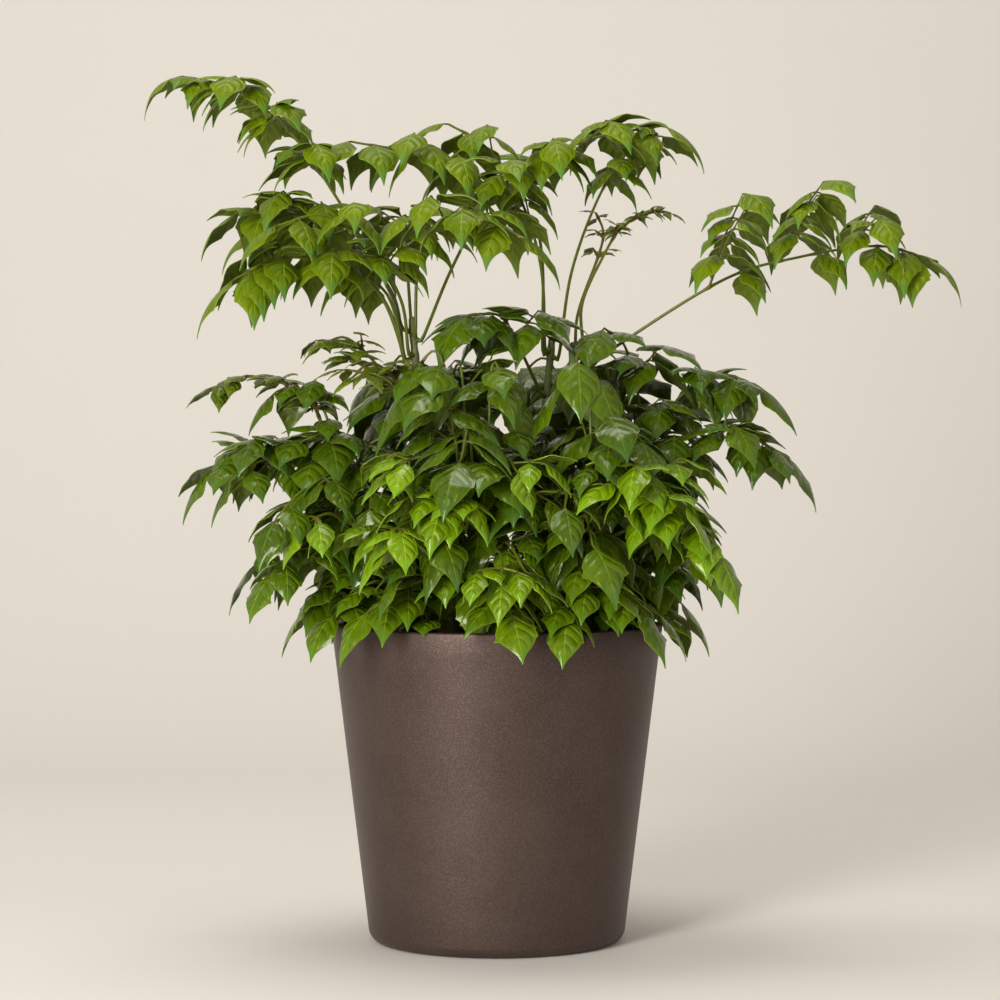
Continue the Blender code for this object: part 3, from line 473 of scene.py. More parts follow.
@dataclass
class Leaf:
    """A leaflet that leaves its root at a bearing and a pitch, and bends down along a circle."""

    root: Vector
    bearing: float
    pitch: float
    bend: float
    roll: float
    length: float
    toothed: bool

    @property
    def width(self):
        return self.length * WIDTH_SHARE

    def varied(self, swing, lift, scale):
        bearing, length = self.bearing + swing, self.length * scale
        pitch = min(self.pitch + lift, STEEPEST)
        bend = min(self.bend, pitch + STEEPEST)
        return replace(self, bearing=bearing, pitch=pitch, bend=bend, length=length)

    def point_shares(self):
        if self.length < SMALL_LEAF:
            return TINY_BLADE if self.length < TINY_LEAF else SMALL_BLADE
        edge = TOOTHED_EDGE if self.toothed else PLAIN_EDGE
        return edge, BENT_RIB if self.bend > STRONG_BEND else PLAIN_RIB

    def half_width(self, along):
        """An ovate blade on a short stalk that ends in a long drip tip, with coarse teeth."""
        u = max(0.0, (along - STALK_SHARE) / (1 - STALK_SHARE))
        ovate = math.sin(math.pi * u**OVATE_SKEW) ** OVATE_FULLNESS if 0 < u < 1 else 0.0
        t = min(max((u - DRIP_START) / DRIP_LENGTH, 0), 1)
        half = self.width / 2 * ovate * (1 - DRIP_NARROWING * t * t * (3 - 2 * t))
        if self.toothed and TOOTH_START < along < TOOTH_START + 2 * TOOTH_PERIOD:
            tooth = math.fmod((along - TOOTH_START) / TOOTH_PERIOD, 1)
            half *= 1 + TOOTH_DEPTH * (tooth - TOOTH_MIDDLE)
        return half

    def at(self, along, across, above):
        """The point at a share of the length and of the half width (left is +1), and a height over it."""
        angle = self.pitch - self.bend * along
        out = Vector((math.cos(self.bearing), math.sin(self.bearing), 0))
        level = Vector((-out.y, out.x, 0))
        radius = self.length / self.bend
        point = self.root + out * radius * (math.sin(self.pitch) - math.sin(angle))
        point += UP * radius * (math.cos(angle) - math.cos(self.pitch))
        normal = UP * math.cos(angle) - out * math.sin(angle)
        side = level * math.cos(self.roll) + normal * math.sin(self.roll)
        over = normal * math.cos(self.roll) - level * math.sin(self.roll)
        half = self.half_width(along)
        return point + side * half * across + over * (above - ARCH * half * abs(across))


class Axis:
    """A stalk with forks in pairs along it and a leaflet at its tip."""

    def __init__(self, path, foot_radius, tip_radius, knee=None):
        self.path = path
        self.radii = foot_radius, tip_radius
        self.knee = knee
        self.forks = []  # (distance, left child, right child)
        self.tip = None

    def radius(self, distance):
        share = min(max(distance / self.path.length, 0), 1)
        return self.radii[0] * (1 - share) + self.radii[1] * share

    def between(self, start, end):
        """Distances that split a long bare stretch evenly, after the knee at a frond's foot."""
        knee = [self.knee] if self.knee and start == 0 else []
        start = max([start, *knee])
        count = int((end - start) / LONG_STRETCH)
        return [*knee, *(start + (end - start) * (i + 1) / (count + 1) for i in range(count))]

    def marks(self):
        """The distance of every section along it."""
        marks = [0.0]
        for distance, *_ in self.forks:
            before, after = distance - ROOT_LENGTH / 2, distance + ROOT_LENGTH / 2
            marks += [*self.between(marks[-1], before), before, after]
        return [*marks, self.path.length]

    def root_corners(self, distance, side):
        """The corners that a side's child grows from, where the left side is 0."""
        left_before, right_before, below_before = self.corners(distance - ROOT_LENGTH / 2)
        left_after, right_after, below_after = self.corners(distance + ROOT_LENGTH / 2)
        if side == 0:
            return left_before, left_after, below_after, below_before
        return right_after, right_before, below_before, below_after

    def corners(self, distance, spare=0.0):
        """The triangular section there: upper left, upper right and below."""
        point, _, left, up = self.path.at(distance)
        radius = self.radius(distance) + spare
        across, over = left * radius * CORNER_WIDTH, up * radius * CORNER_HEIGHT
        return point + across + over, point - across + over, point - up * radius


class Skin:
    """A surface of points and faces that grows from ring to ring of four corners, as the solids do."""

    def __init__(self, points=(), faces=()):
        self.points = list(points)
        self.faces = list(faces)

    def add(self, *points):
        first = len(self.points)
        self.points.extend(points)
        return list(range(first, len(self.points)))

    def face(self, *corners):
        kept = [c for i, c in enumerate(corners) if c != corners[i - 1]]
        if len(kept) > 2:
            self.faces.append(kept)

    def join(self, ring, onward):
        for side in range(4):
            after = (side + 1) % 4
            self.face(ring[side], ring[after], onward[after], onward[side])

    def section(self, axis, distance, spare=0.0):
        ring = self.add(*axis.corners(distance, spare))
        return [*ring, ring[-1]]

    def strip(self, right, left, flipped):
        """Triangles between two lines of (share, point) that start and end together."""
        i = j = 0
        while i < len(right) - 1 or j < len(left) - 1:
            on_right = j == len(left) - 1 or (i < len(right) - 1 and right[i + 1][0] <= left[j + 1][0])
            corner = right[i + 1][1] if on_right else left[j + 1][1]
            corners = [right[i][1], corner, left[j][1]]
            self.face(*(reversed(corners) if flipped else corners))
            i, j = (i + 1, j) if on_right else (i, j + 1)

    def grow_leaf(self, ring, leaf, spare=0.0):
        """Closes a ring with a leaflet. Both faces of the blade are split alike."""
        edge_shares, rib_shares = leaf.point_shares()
        thick = BLADE_THICKNESS / 2 + spare
        swell = 1 + 2 * spare / leaf.width
        tip = (1.0, self.add(leaf.at(1 + spare / leaf.length, 0, 0))[0])
        ribs = (rib_shares, 0, thick), (rib_shares, 0, -thick)
        edges = (edge_shares, swell, 0), (edge_shares, -swell, 0)
        over, under, left, right = (
            [(u, self.add(leaf.at(u, *place))[0]) for u in shares] for shares, *place in (*ribs, *edges)
        )
        upper_left, upper_right, lower_right, lower_left = ring
        self.face(upper_left, upper_right, over[0][1])
        self.face(lower_right, lower_left, under[0][1])
        self.face(lower_left, upper_left, left[0][1])
        self.face(upper_right, lower_right, right[0][1])
        for corner, first, second, flipped in (
            (upper_left, over, left, False),
            (upper_right, right, over, False),
            (lower_left, under, left, True),
            (lower_right, right, under, True),
        ):
            self.strip([(0, corner), *first, tip], [(0, corner), *second, tip], flipped)


class Thicket:
    """The room that is taken, so that what grows next keeps clear of it."""

    def __init__(self):
        self.spare = CLEARANCE
        self.owners = []
        self.trees = []
        self.lows = np.empty((0, 3))
        self.highs = np.empty((0, 3))

    def add(self, skin, owner=None):
        points = np.array(skin.points)
        self.lows = np.vstack([self.lows, points.min(0)])
        self.highs = np.vstack([self.highs, points.max(0)])
        self.owners.append(owner)
        self.trees.append(BVHTree.FromPolygons(skin.points, skin.faces))

    def is_clear(self, skin, but=None):
        """Whether a shape crosses nothing, apart from what the named owner holds."""
        points = np.array(skin.points)
        near = ((self.lows <= points.max(0)) & (self.highs >= points.min(0))).all(1)
        tree = None
        for index in np.flatnonzero(near):
            if but is None or self.owners[index] != but:
                tree = tree or BVHTree.FromPolygons(skin.points, skin.faces)
                if tree.overlap(self.trees[index]):
                    return False
        return True


def whole_leaf(leaf, ring):
    """The leaflet by itself, from the corners of its root on."""
    skin = Skin()
    corners = skin.add(*ring)
    skin.grow_leaf([*corners, corners[-1]][:4], leaf)
    return skin


def blade(leaf, spare):
    """The leaflet's blade by itself, without the root that joins it to its stalk."""
    skin = Skin()
    half = STALK_RADIUS + spare
    middle = replace(leaf, toothed=False).at(STALK_SHARE * 1.2, 0, 0)
    level = Vector((-math.sin(leaf.bearing), math.cos(leaf.bearing), 0)) * half
    over = UP * half
    upper = middle + level + over, middle - level + over
    lower = middle - level - over, middle + level - over
    skin.grow_leaf(skin.add(*upper, *lower), leaf, spare)
    return skin


def tube(axis, start, spare):
    """The stalk by itself from a distance on, with room to spare round it."""
    skin = Skin()
    ring = None
    for mark in axis.marks():
        onward = skin.section(axis, max(mark, start), spare)
        if ring and mark > start:
            skin.join(ring, onward)
        ring = onward
    return skin


def rooted_tube(axis, ring):
    """The side stalk as it is, from the corners of its root on."""
    skin = Skin()
    ring = skin.add(*ring)
    for mark in axis.marks()[1:]:
        onward = skin.section(axis, mark)
        skin.join(ring, onward)
        ring = onward
    return skin


def vector_mm(values):
    return Vector(values) * MM


def stem_paths():
    foot = (SOIL_TOP - STEM_DEPTH + GAP) / MM
    return {
        name: Path([vector_mm((*points[0], foot)), *map(vector_mm, points[1:])], STEM_STEPS)
        for name, points in STEMS.items()
    }


def stem_radius(path, height):
    share = (height - path.points[0].z) / (path.points[-1].z - path.points[0].z)
    return STEM_FOOT_RADIUS * (1 - share) + STEM_TOP_RADIUS * share


def foot_on_stem(stem, height, towards):
    """The first two points of a frond, which leaves the stem's side level and turns up at its knee."""
    centre, slope = stem.at_height(height)
    out = Vector((towards.x - centre.x, towards.y - centre.y, 0)).normalized()
    lean = abs(slope.dot(out)) + CORNER_HEIGHT * math.sin(KNEE_RISE)
    foot = centre + out * (stem_radius(stem, height) + PETIOLE_RADIUS * lean + GAP)
    return [foot, foot + (out * math.cos(KNEE_RISE) + UP * math.sin(KNEE_RISE)) * KNEE]


def side_stalk(parent, distance, side, count, leaf_length, habit, draw):
    """What grows from one side of a stalk: a leaflet, or a shorter stalk with an odd count of them."""
    point, tangent, left, _ = parent.path.at(distance)
    root = point + left * side * parent.radius(distance) * CORNER_WIDTH
    spread = math.radians(SPREAD + stray(SPREAD_STRAY, draw))
    aim = tangent * math.cos(spread) + left * side * math.sin(spread)
    if count == 1:
        return new_leaf(root, aim, leaf_length * draw.uniform(*SIZE_RANGE), habit, draw)
    pairs = (count - 1) // 2
    reach = leaf_length * (SIDE_STALK_FOOT + SIDE_STALK_PAIR * pairs)
    rise = UP * reach * habit[2] * draw.uniform(*RISE_RANGE)
    path = Path([root, root + aim * reach / 2 + rise * SIDE_STALK_ARCH, root + aim * reach + rise])
    stalk = Axis(path, STALK_RADIUS, STALK_RADIUS * 0.8)
    for pair in range(pairs):
        at = path.length * (pair + 0.9) / (pairs + 0.6)
        size = leaf_length * (1 - PAIR_SHRINK * (pair + 0.5))
        stalk.forks.append((at, *(side_stalk(stalk, at, s, 1, size, habit, draw) for s in (1, -1))))
    stalk.tip = new_leaf(path.points[-1], path.at(path.length)[1], leaf_length, habit, draw)
    return stalk


def stray(degrees, draw):
    return draw.uniform(-degrees, degrees)


def new_leaf(root, aim, length, habit, draw):
    pitch, bend, _ = habit
    bearing = math.atan2(aim.y, aim.x) + math.radians(stray(BEARING_STRAY, draw))
    pitch = math.radians(pitch + stray(PITCH_STRAY, draw)) + RISE_KEPT * math.asin(aim.z / aim.length)
    bend = min(math.radians(bend + stray(BEND_STRAY, draw)), pitch + STEEPEST)
    roll = math.radians(stray(ROLL_STRAY, draw))
    return Leaf(root, bearing, pitch, bend, roll, length, draw.random() < TOOTHED_SHARE)


def frond_axis(stem, foot_height, way, bare, pattern, leaf_length, habit, turn, climb, draw):
    """A frond from the stem's side along its way, turned about its stem and with its foot moved up."""
    foot_height = min(foot_height + climb, stem.points[-1].z - STEM_END)
    centre, _ = stem.at_height(foot_height)
    turned = []
    for point in way:
        offset = point - centre
        x = offset.x * math.cos(turn) - offset.y * math.sin(turn)
        y = offset.x * math.sin(turn) + offset.y * math.cos(turn)
        turned.append(centre + Vector((x, y, offset.z)))
    path = Path([*foot_on_stem(stem, foot_height, turned[0]), *turned])
    axis = Axis(path, PETIOLE_RADIUS, RACHIS_RADIUS, KNEE)
    weights = [0.5 + 0.5 * count for count in pattern]
    start = path.length * bare
    room = path.length - start - leaf_length * TIP_STRETCH
    passed = 0.0
    for count, weight in zip(pattern, weights):
        at = start + room * passed / sum(weights[:-1])
        passed += weight
        sides = [side_stalk(axis, at, side, count, leaf_length, habit, draw) for side in (1, -1)]
        axis.forks.append((at, *sides))
    axis.tip = new_leaf(path.points[-1], path.at(path.length)[1], leaf_length * END_LEAF, habit, draw)
    return axis


def ring_fronds(stems, rings):
    """(name, kind, what frond_axis takes) of every frond in the rings."""
    for ring, (number, first, reach, tip, foot, leaf_length, kind, pattern) in rings.items():
        for i in range(number):
            bearing = math.radians(first + 360 * i / number)
            end = Vector((math.cos(bearing) * reach, math.sin(bearing) * reach, tip)) * MM
            start = foot * MM + RING_STAGGER * (i % 3)
            stem = min(stems.values(), key=lambda s: (s.at_height(start)[0] - end).xy.length)
            middle = (stem.at_height(start)[0] + end) / 2
            middle.z = max(start, tip * MM) + RING_RISE
            args = stem, start, [middle, end], RING_BARE, pattern, leaf_length * MM, HABITS[kind]
            yield f"{ring}_{i + 1}", kind, args


def placed_fronds(stems, fronds):
    """(name, kind, what frond_axis takes) of every frond that is placed by itself."""
    for name, (stem, foot, bare, pattern, leaf_length, kind, *way) in fronds.items():
        way = [vector_mm(p) for p in way]
        yield name, kind, (stems[stem], foot * MM, way, bare, pattern, leaf_length * MM, HABITS[kind])


def clear_turn(name, args, thicket):
    """The frond turned about its stem until its stalk is clear of the rest, or None. One of
    FILL_FRONDS keeps its place all the same."""
    for turn, climb in itertools.product(TURNS, CLIMBS):
        axis = frond_axis(*args, turn, climb, random.Random(f"{SEED} {name}"))
        beyond_stem = tube(axis, KNEE, thicket.spare)
        if thicket.is_clear(beyond_stem) and thicket.is_clear(tube(axis, 0, thicket.spare), but=args[0]):
            return axis
    return frond_axis(*args, 0, 0, random.Random(f"{SEED} {name}")) if name in FILL_FRONDS else None


def clear_sides(name, axis, thicket):
    """Takes up the room of a frond's stalks. A side stalk that isn't clear gives way to a leaflet."""
    kept = [tube(axis, 0, 0)]
    for i, (distance, *sides) in enumerate(axis.forks):
        for side, child in enumerate(sides):
            if not isinstance(child, Axis):
                continue
            whole = rooted_tube(child, axis.root_corners(distance, side))
            if thicket.is_clear(whole) and thicket.is_clear(tube(child, 0, thicket.spare)):
                kept.append(whole)
            else:
                sides[side] = child.tip
                child.tip.root = child.path.points[0]
        axis.forks[i] = (distance, *sides)
    for skin in kept:
        thicket.add(skin, name)


def clear_leaf(name, leaf, ring, thicket):
    """The leaflet bent clear of everything so far, or None where there is no room for it."""
    for scale, lift, swing in itertools.product(SCALES, LIFTS, SWINGS):
        trial = leaf.varied(swing, lift, scale)
        test = blade(trial, thicket.spare)
        if not above_soil(test.points) or not thicket.is_clear(test):
            continue
        whole = whole_leaf(trial, ring)
        if thicket.is_clear(whole, but=name):
            thicket.add(whole, name)
            return trial
    return None


def above_soil(points):
    return all(p.z > SOIL_TOP + SOIL_LUMP for p in points if p.xy.length < POT_RIM_RADIUS)


def settle(name, axis, thicket):
    """Fixes every leaflet of a stalk clear of the rest, from the tip backwards."""
    if axis.tip:
        last = axis.forks[-1][0] + ROOT_LENGTH / 2
        axis.tip = clear_leaf(name, axis.tip, axis.corners(last), thicket)
    for i, (distance, *sides) in reversed(list(enumerate(axis.forks))):
        for side, child in enumerate(sides):
            if isinstance(child, Axis):
                settle(name, child, thicket)
            else:
                sides[side] = clear_leaf(name, child, axis.root_corners(distance, side), thicket)
        axis.forks[i] = (distance, *sides)


def thicken(name, axis, leaf_length, habit, thicket, draw):
    """More pairs of leaflets between those that a stalk has, wherever there is room."""
    leaf_length *= MORE_SIZE
    places = [fork[0] for fork in axis.forks]
    if axis.tip:
        places.append(axis.path.length)
    more = []
    for before, after in zip(places, places[1:]):
        at = (before + after) / 2
        leaves = [side_stalk(axis, at, side, 1, leaf_length, habit, draw) for side in (1, -1)]
        corners = [axis.root_corners(at, side) for side in (0, 1)]
        more.append((at, *(clear_leaf(name, *pair, thicket) for pair in zip(leaves, corners))))
    for _, *sides in axis.forks:
        for child in sides:
            if isinstance(child, Axis):
                thicken(name, child, leaf_length, habit, thicket, draw)
    axis.forks = sorted(axis.forks + more, key=lambda fork: fork[0])


def grow_fronds(plans, thicket):
    """{name: (kind, axis, what it grew from)} of the fronds that find room."""
    fronds = {}
    for name, kind, args in plans:
        axis = clear_turn(name, args, thicket)
        if axis:
            clear_sides(name, axis, thicket)
            fronds[name] = kind, axis, args
    for name, (_, axis, _) in fronds.items():
        settle(name, axis, thicket)
    return fronds


def thicken_all(fronds, thicket):
    """Thickens the fronds that the photograph shows as close bands."""
    for name in THICKENED:
        _, axis, args = fronds[name]
        *_, leaf_length, habit = args
        thicken(name, axis, leaf_length, habit, thicket, random.Random(f"more {name}"))


def node_skin(node):
    """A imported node's points and faces."""
    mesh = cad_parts[node].data
    return Skin([v.co.copy() for v in mesh.vertices], [list(f.vertices) for f in mesh.polygons])


def eased(points):
    """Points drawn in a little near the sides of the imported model's box, so that none lies outside."""
    low, high = np.array(CAD_BOX)
    tightness = BOX_EXCESS / (BOX_EASE * (BOX_EASE + BOX_EXCESS))
    over = np.maximum(points - (high - BOX_EASE), 0)
    below = np.maximum((low + BOX_EASE) - points, 0) * (low < 0)
    points = points - over + over / (1 + over * tightness)
    return points + below - below / (1 + below * tightness)


class Surface:
    """What one piece's mesh is made of: points with their marks, and faces by material."""

    def __init__(self):
        self.points = []
        self.marks = []  # (along, across, tone) of each point
        self.under = []  # 1 on the lower face of a blade
        self.faces = []
        self.slots = []
        self.count = 0

    def add(self, points, marks, under, faces, slot=0):
        self.points.append(eased(points.reshape(-1, 3)))
        self.marks.append(marks.reshape(-1, 3))
        self.under.append(under.reshape(-1))
        self.faces += [[corner + self.count for corner in face] for face in faces]
        self.slots += [slot] * len(faces)
        self.count += len(self.points[-1])

    def piece(self, name, materials, sharp_over):
        mesh = bpy.data.meshes.new(name)
        mesh.from_pydata(np.concatenate(self.points), [], self.faces)
        for material in materials:
            mesh.materials.append(material)
        mesh.polygons.foreach_set("material_index", self.slots)
        marks = mesh.attributes.new("growth", "FLOAT_VECTOR", "POINT")
        marks.data.foreach_set("vector", np.concatenate(self.marks).astype(np.float32).ravel())
        under = mesh.attributes.new("under", "FLOAT", "POINT")
        under.data.foreach_set("value", np.concatenate(self.under).astype(np.float32))
        mesh.shade_smooth()
        mesh.set_sharp_from_angle(angle=math.radians(sharp_over))
        return new_piece(name, mesh)


def new_piece(name, mesh):
    piece = bpy.data.objects.new(name, mesh)
    bpy.context.scene.collection.objects.link(piece)
    return piece


def grid_faces(rows, columns, closed=False):
    """Quads of a grid whose rows run along and whose columns run across, closed into a tube or not."""
    index = np.arange(rows * columns).reshape(rows, columns)
    if closed:
        index = np.hstack([index, index[:, :1]])
    corners = index[:-1, :-1], index[1:, :-1], index[1:, 1:], index[:-1, 1:]
    return np.stack(corners, -1).reshape(-1, 4)


def closed_tube(rows, sides):
    """The faces of a tube of rings with a cap at either end."""
    faces = grid_faces(rows, sides, closed=True).tolist()
    faces.append(list(range(sides)))
    faces.append(list(range((rows - 1) * sides, rows * sides))[::-1])
    return faces


def blade_faces(rows, columns):
    """The upper face, the lower face and the narrow edge between them."""
    upper = grid_faces(rows, columns)
    count = rows * columns
    index = np.arange(count).reshape(rows, columns)
    loop = np.concatenate([index[:-1, 0], index[-1, :-1], index[:0:-1, -1], index[0, :0:-1]])
    onward = np.roll(loop, -1)
    edge = np.stack([onward, loop, loop + count, onward + count], -1)
    return np.concatenate([upper, upper[:, ::-1] + count, edge]).tolist()


class Outline:
    """The shape of one leaflet's edge, with teeth that differ on its two sides."""

    def __init__(self, leaf, kind, draw):
        teeth = STRONG_TEETH if leaf.toothed else FAINT_TEETH
        self.leaf = leaf
        self.halves = np.array(LONG_HALVES)
        self.halves += (np.array(ROUND_HALVES) - self.halves) * draw.uniform(*ROUNDNESS[kind])
        self.teeth = [[strayed(*tooth, draw) for tooth in teeth] for _ in range(2)]

    def grid(self):
        """Shares of the length and of the half width. The largest blades have rows for their teeth."""
        limit, count, columns = next(grid for grid in BLADE_GRIDS if self.leaf.length < grid[0])
        rows = np.linspace(BLADE_START, 1, count)
        if limit == math.inf:
            points = np.array([place for side in self.teeth for place, _ in side])
            rows = np.unique(np.concatenate([rows, points, points + TOOTH_DROP]))
        return np.meshgrid(rows, columns, indexing="ij")

    def half_width(self, along, across):
        u = (along - STALK_SHARE) / (1 - STALK_SHARE)
        half = self.leaf.width / 2 * BLADE_WIDTH * np.interp(u, BLADE_SHARES, self.halves)
        for side, teeth in zip((1, -1), self.teeth):
            for place, depth in teeth:
                rise = np.clip(1 - (place - along) / TOOTH_RISE, 0, 1) ** 2
                tooth = np.where(along <= place, rise, np.clip(1 - (along - place) / TOOTH_DROP, 0, 1))
                half = half * (1 + depth * tooth * (across * side > 0) * np.abs(across) ** 2)
        return np.maximum(half, THIN / 2)


def strayed(place, depth, draw):
    """A tooth moved a little along its edge, and made deeper or fainter."""
    return place + draw.uniform(-TOOTH_STRAY, TOOTH_STRAY), depth * draw.uniform(*TOOTH_RANGE)


def fine_blade(surface, leaf, kind, draw):
    """A thin closed blade with a rib, a waved and toothed edge and a drip tip."""
    outline = Outline(leaf, kind, draw)
    along, across = outline.grid()
    half = outline.half_width(along, across)
    v = np.abs(across)
    rib = across == 0
    phase = draw.uniform(0, 1)
    height = -ARCH * draw.uniform(*ARCH_RANGE) * half * v**ARCH_POWER
    height += WAVE * half * v**2 * np.sin(2 * math.pi * (WAVE_TURNS * along + phase) + 2 * across)
    height -= RIB_GROOVE * half * rib
    point, side, over = spine_frame(leaf, along, draw.uniform(-SWAY, SWAY))
    point = point + side * (half * across)[..., None]
    upper = point + over * (height + THIN / 2)[..., None]
    lower = point + over * (height - THIN / 2 - RIB_RIDGE * rib * (1 - along))[..., None]
    marks = np.stack([along, across, np.full(along.shape, draw.random())], -1)
    under = np.stack([np.zeros(along.shape), np.ones(along.shape)])
    surface.add(np.stack([upper, lower]), np.stack([marks, marks]), under, blade_faces(*along.shape))


def spine_frame(leaf, along, sway):
    """The rib's points and the directions to the blade's left and over it, as Leaf.at has them."""
    out = np.array((math.cos(leaf.bearing), math.sin(leaf.bearing), 0))
    level = np.array((-out[1], out[0], 0))
    up = np.array((0, 0, 1))
    along = along[..., None]
    angle = leaf.pitch - leaf.bend * along
    radius = leaf.length / leaf.bend
    point = np.array(leaf.root) + out * radius * (math.sin(leaf.pitch) - np.sin(angle))
    point = point + up * radius * (np.cos(angle) - math.cos(leaf.pitch))
    point = point + level * leaf.length * sway * along**2
    normal = up * np.cos(angle) - out * np.sin(angle)
    side = level * math.cos(leaf.roll) + normal * math.sin(leaf.roll)
    over = normal * math.cos(leaf.roll) - level * math.sin(leaf.roll)
    return point, side, over


def fine_tube(surface, centres, radii, sides, marks, slot):
    """A round closed rod along some points."""
    centres = np.array(centres, float)
    tangents = np.gradient(centres, axis=0)
    tangents /= np.linalg.norm(tangents, axis=1)[:, None]
    across = np.cross(tangents[0], ASKEW)
    rings = []
    for centre, tangent, radius in zip(centres, tangents, radii):
        across = across - tangent * (across @ tangent)
        across /= np.linalg.norm(across)
        other = np.cross(tangent, across)
        turn = 2 * math.pi * np.arange(sides) / sides
        radius = np.broadcast_to(radius, (sides,))[:, None]
        rings.append(centre + radius * (np.cos(turn)[:, None] * across - np.sin(turn)[:, None] * other))
    rows = len(rings)
    marks = np.repeat(np.array(marks, float)[:, None, :], sides, 1)
    surface.add(np.array(rings), marks, np.zeros(rows * sides), closed_tube(rows, sides), slot)


def nearness(places, nodes):
    """How near each place is to a node, from 1 at one down to 0."""
    near = np.zeros(len(places))
    for node in nodes:
        near += np.exp(-(((places - node) / NODE_LENGTH) ** 2))
    return near


def fine_stalk(surface, axis, tone, sunk):
    """A round stalk, a little thicker at its foot and wherever it forks."""
    length = axis.path.length if axis.tip else axis.forks[-1][0] + ROOT_LENGTH
    forks = [fork[0] for fork in axis.forks]
    steps = np.linspace(0, length, max(3, round(length / STALK_STEP) + 1))
    distances = np.unique(np.concatenate([steps, forks]))
    joint = nearness(distances, forks)
    radii = np.array([axis.radius(d) for d in distances]) * STALK_SLIMNESS
    swell = FOOT_SWELL * np.exp(-((distances / FOOT_LENGTH) ** 2))
    radii = radii * (1 + swell + NODE_SWELL * np.minimum(joint, 1))
    points = [axis.path.at(d)[0] for d in distances]
    points.insert(0, points[0] - axis.path.at(0)[1] * sunk)
    radii = np.concatenate([radii[:1], radii])
    joint = np.concatenate([[1], joint])
    distances = np.concatenate([[0], distances])
    marks = np.stack([distances / length, joint, np.full(len(joint), tone)], -1)
    fine_tube(surface, points, radii, STALK_SIDES, marks, 1)


def leaf_stalk(surface, leaf, foot, tone):
    """The short stalk of a leaflet, from inside what it grows from to the foot of its rib."""
    points = [foot, *(leaf.at(share, 0, 0) for share in LEAF_STALK_SHARES)]
    radii = np.array(LEAF_STALK_RADII) * MM * min(1, leaf.length / SMALL_LEAF)
    marks = [(share, 0.6 * (share <= STALK_SHARE), tone) for share in (0, *LEAF_STALK_SHARES)]
    fine_tube(surface, points, radii, LEAF_STALK_SIDES, marks, 1)


def fine_foliage(surface, axis, kind, draw, sunk=SUNK):
    """A frond, or one of its side stalks, with all it carries."""
    tone = draw.random()
    fine_stalk(surface, axis, tone, sunk)
    ends = [(axis.path.length, axis.tip)] if axis.tip else []
    for distance, child in [(d, c) for d, *sides in axis.forks for c in sides] + ends:
        if isinstance(child, Axis):
            fine_foliage(surface, child, kind, draw, STALK_RADIUS)
        elif child:
            leaf_stalk(surface, child, axis.path.at(distance)[0], tone)
            fine_blade(surface, child, kind, draw)


class Graph:
    """A material's nodes, joined as they are made. A value is a number, a colour or a socket."""

    def __init__(self, name):
        self.material = bpy.data.materials.new(name)
        self.material.use_nodes = True
        self.tree = self.material.node_tree
        self.shader = self.tree.nodes["Principled BSDF"]

    def feed(self, socket, value):
        if isinstance(value, bpy.types.NodeSocket):
            self.tree.links.new(value, socket)
        elif isinstance(value, tuple) and len(value) == 3 and len(socket.default_value) == 4:
            socket.default_value = (*value, 1)
        else:
            socket.default_value = value

    def node(self, kind, inputs=None, **settings):
        node = self.tree.nodes.new(kind)
        for name, value in settings.items():
            setattr(node, name, value)
        for name, value in (inputs or {}).items():
            self.feed(node.inputs[name], value)
        return node

    def math(self, operation, *values):
        node = self.node("ShaderNodeMath", operation=operation)
        for socket, value in zip(node.inputs, values):
            self.feed(socket, value)
        return node.outputs[0]

    def plus(self, first, second):
        return self.math("ADD", first, second)

    def times(self, first, second):
        return self.math("MULTIPLY", first, second)

    def step(self, value, low, high, out_low=0.0, out_high=1.0):
        """The value carried smoothly from one range to another."""
        inputs = {"Value": value, "From Min": low, "From Max": high, "To Min": out_low, "To Max": out_high}
        return self.node("ShaderNodeMapRange", inputs, interpolation_type="SMOOTHSTEP").outputs["Result"]

    def mix(self, share, first, second):
        node = self.node("ShaderNodeMix", data_type="RGBA")
        for index, value in zip((0, 6, 7), (share, first, second)):
            self.feed(node.inputs[index], value)
        return node.outputs[2]

    def noise(self, scale, detail, roughness=0.5, stretch=(1, 1, 1)):
        where = self.node("ShaderNodeTexCoord").outputs["Object"]
        where = self.node("ShaderNodeMapping", {"Vector": where, "Scale": stretch}).outputs[0]
        inputs = {"Vector": where, "Scale": scale, "Detail": detail, "Roughness": roughness}
        return self.node("ShaderNodeTexNoise", inputs).outputs["Fac"]

    def cells(self, scale):
        where = self.node("ShaderNodeTexCoord").outputs["Object"]
        node = self.node("ShaderNodeTexVoronoi", {"Vector": where, "Scale": scale})
        return node.outputs["Distance"], node.outputs["Color"]

    def attribute(self, name, output):
        return self.node("ShaderNodeAttribute", attribute_name=name).outputs[output]

    def split(self, vector):
        return self.node("ShaderNodeSeparateXYZ", {"Vector": vector}).outputs

    def bump(self, height, distance, strength):
        inputs = {"Height": height, "Distance": distance, "Strength": strength}
        self.feed(self.shader.inputs["Normal"], self.node("ShaderNodeBump", inputs).outputs[0])

    def finish(self, colour, roughness, constants=None):
        """Joins colour and roughness to the shader and sets its constants."""
        self.feed(self.shader.inputs["Base Color"], colour)
        self.feed(self.shader.inputs["Roughness"], roughness)
        for name, value in (constants or {}).items():
            self.shader.inputs[name].default_value = value
        return self.material


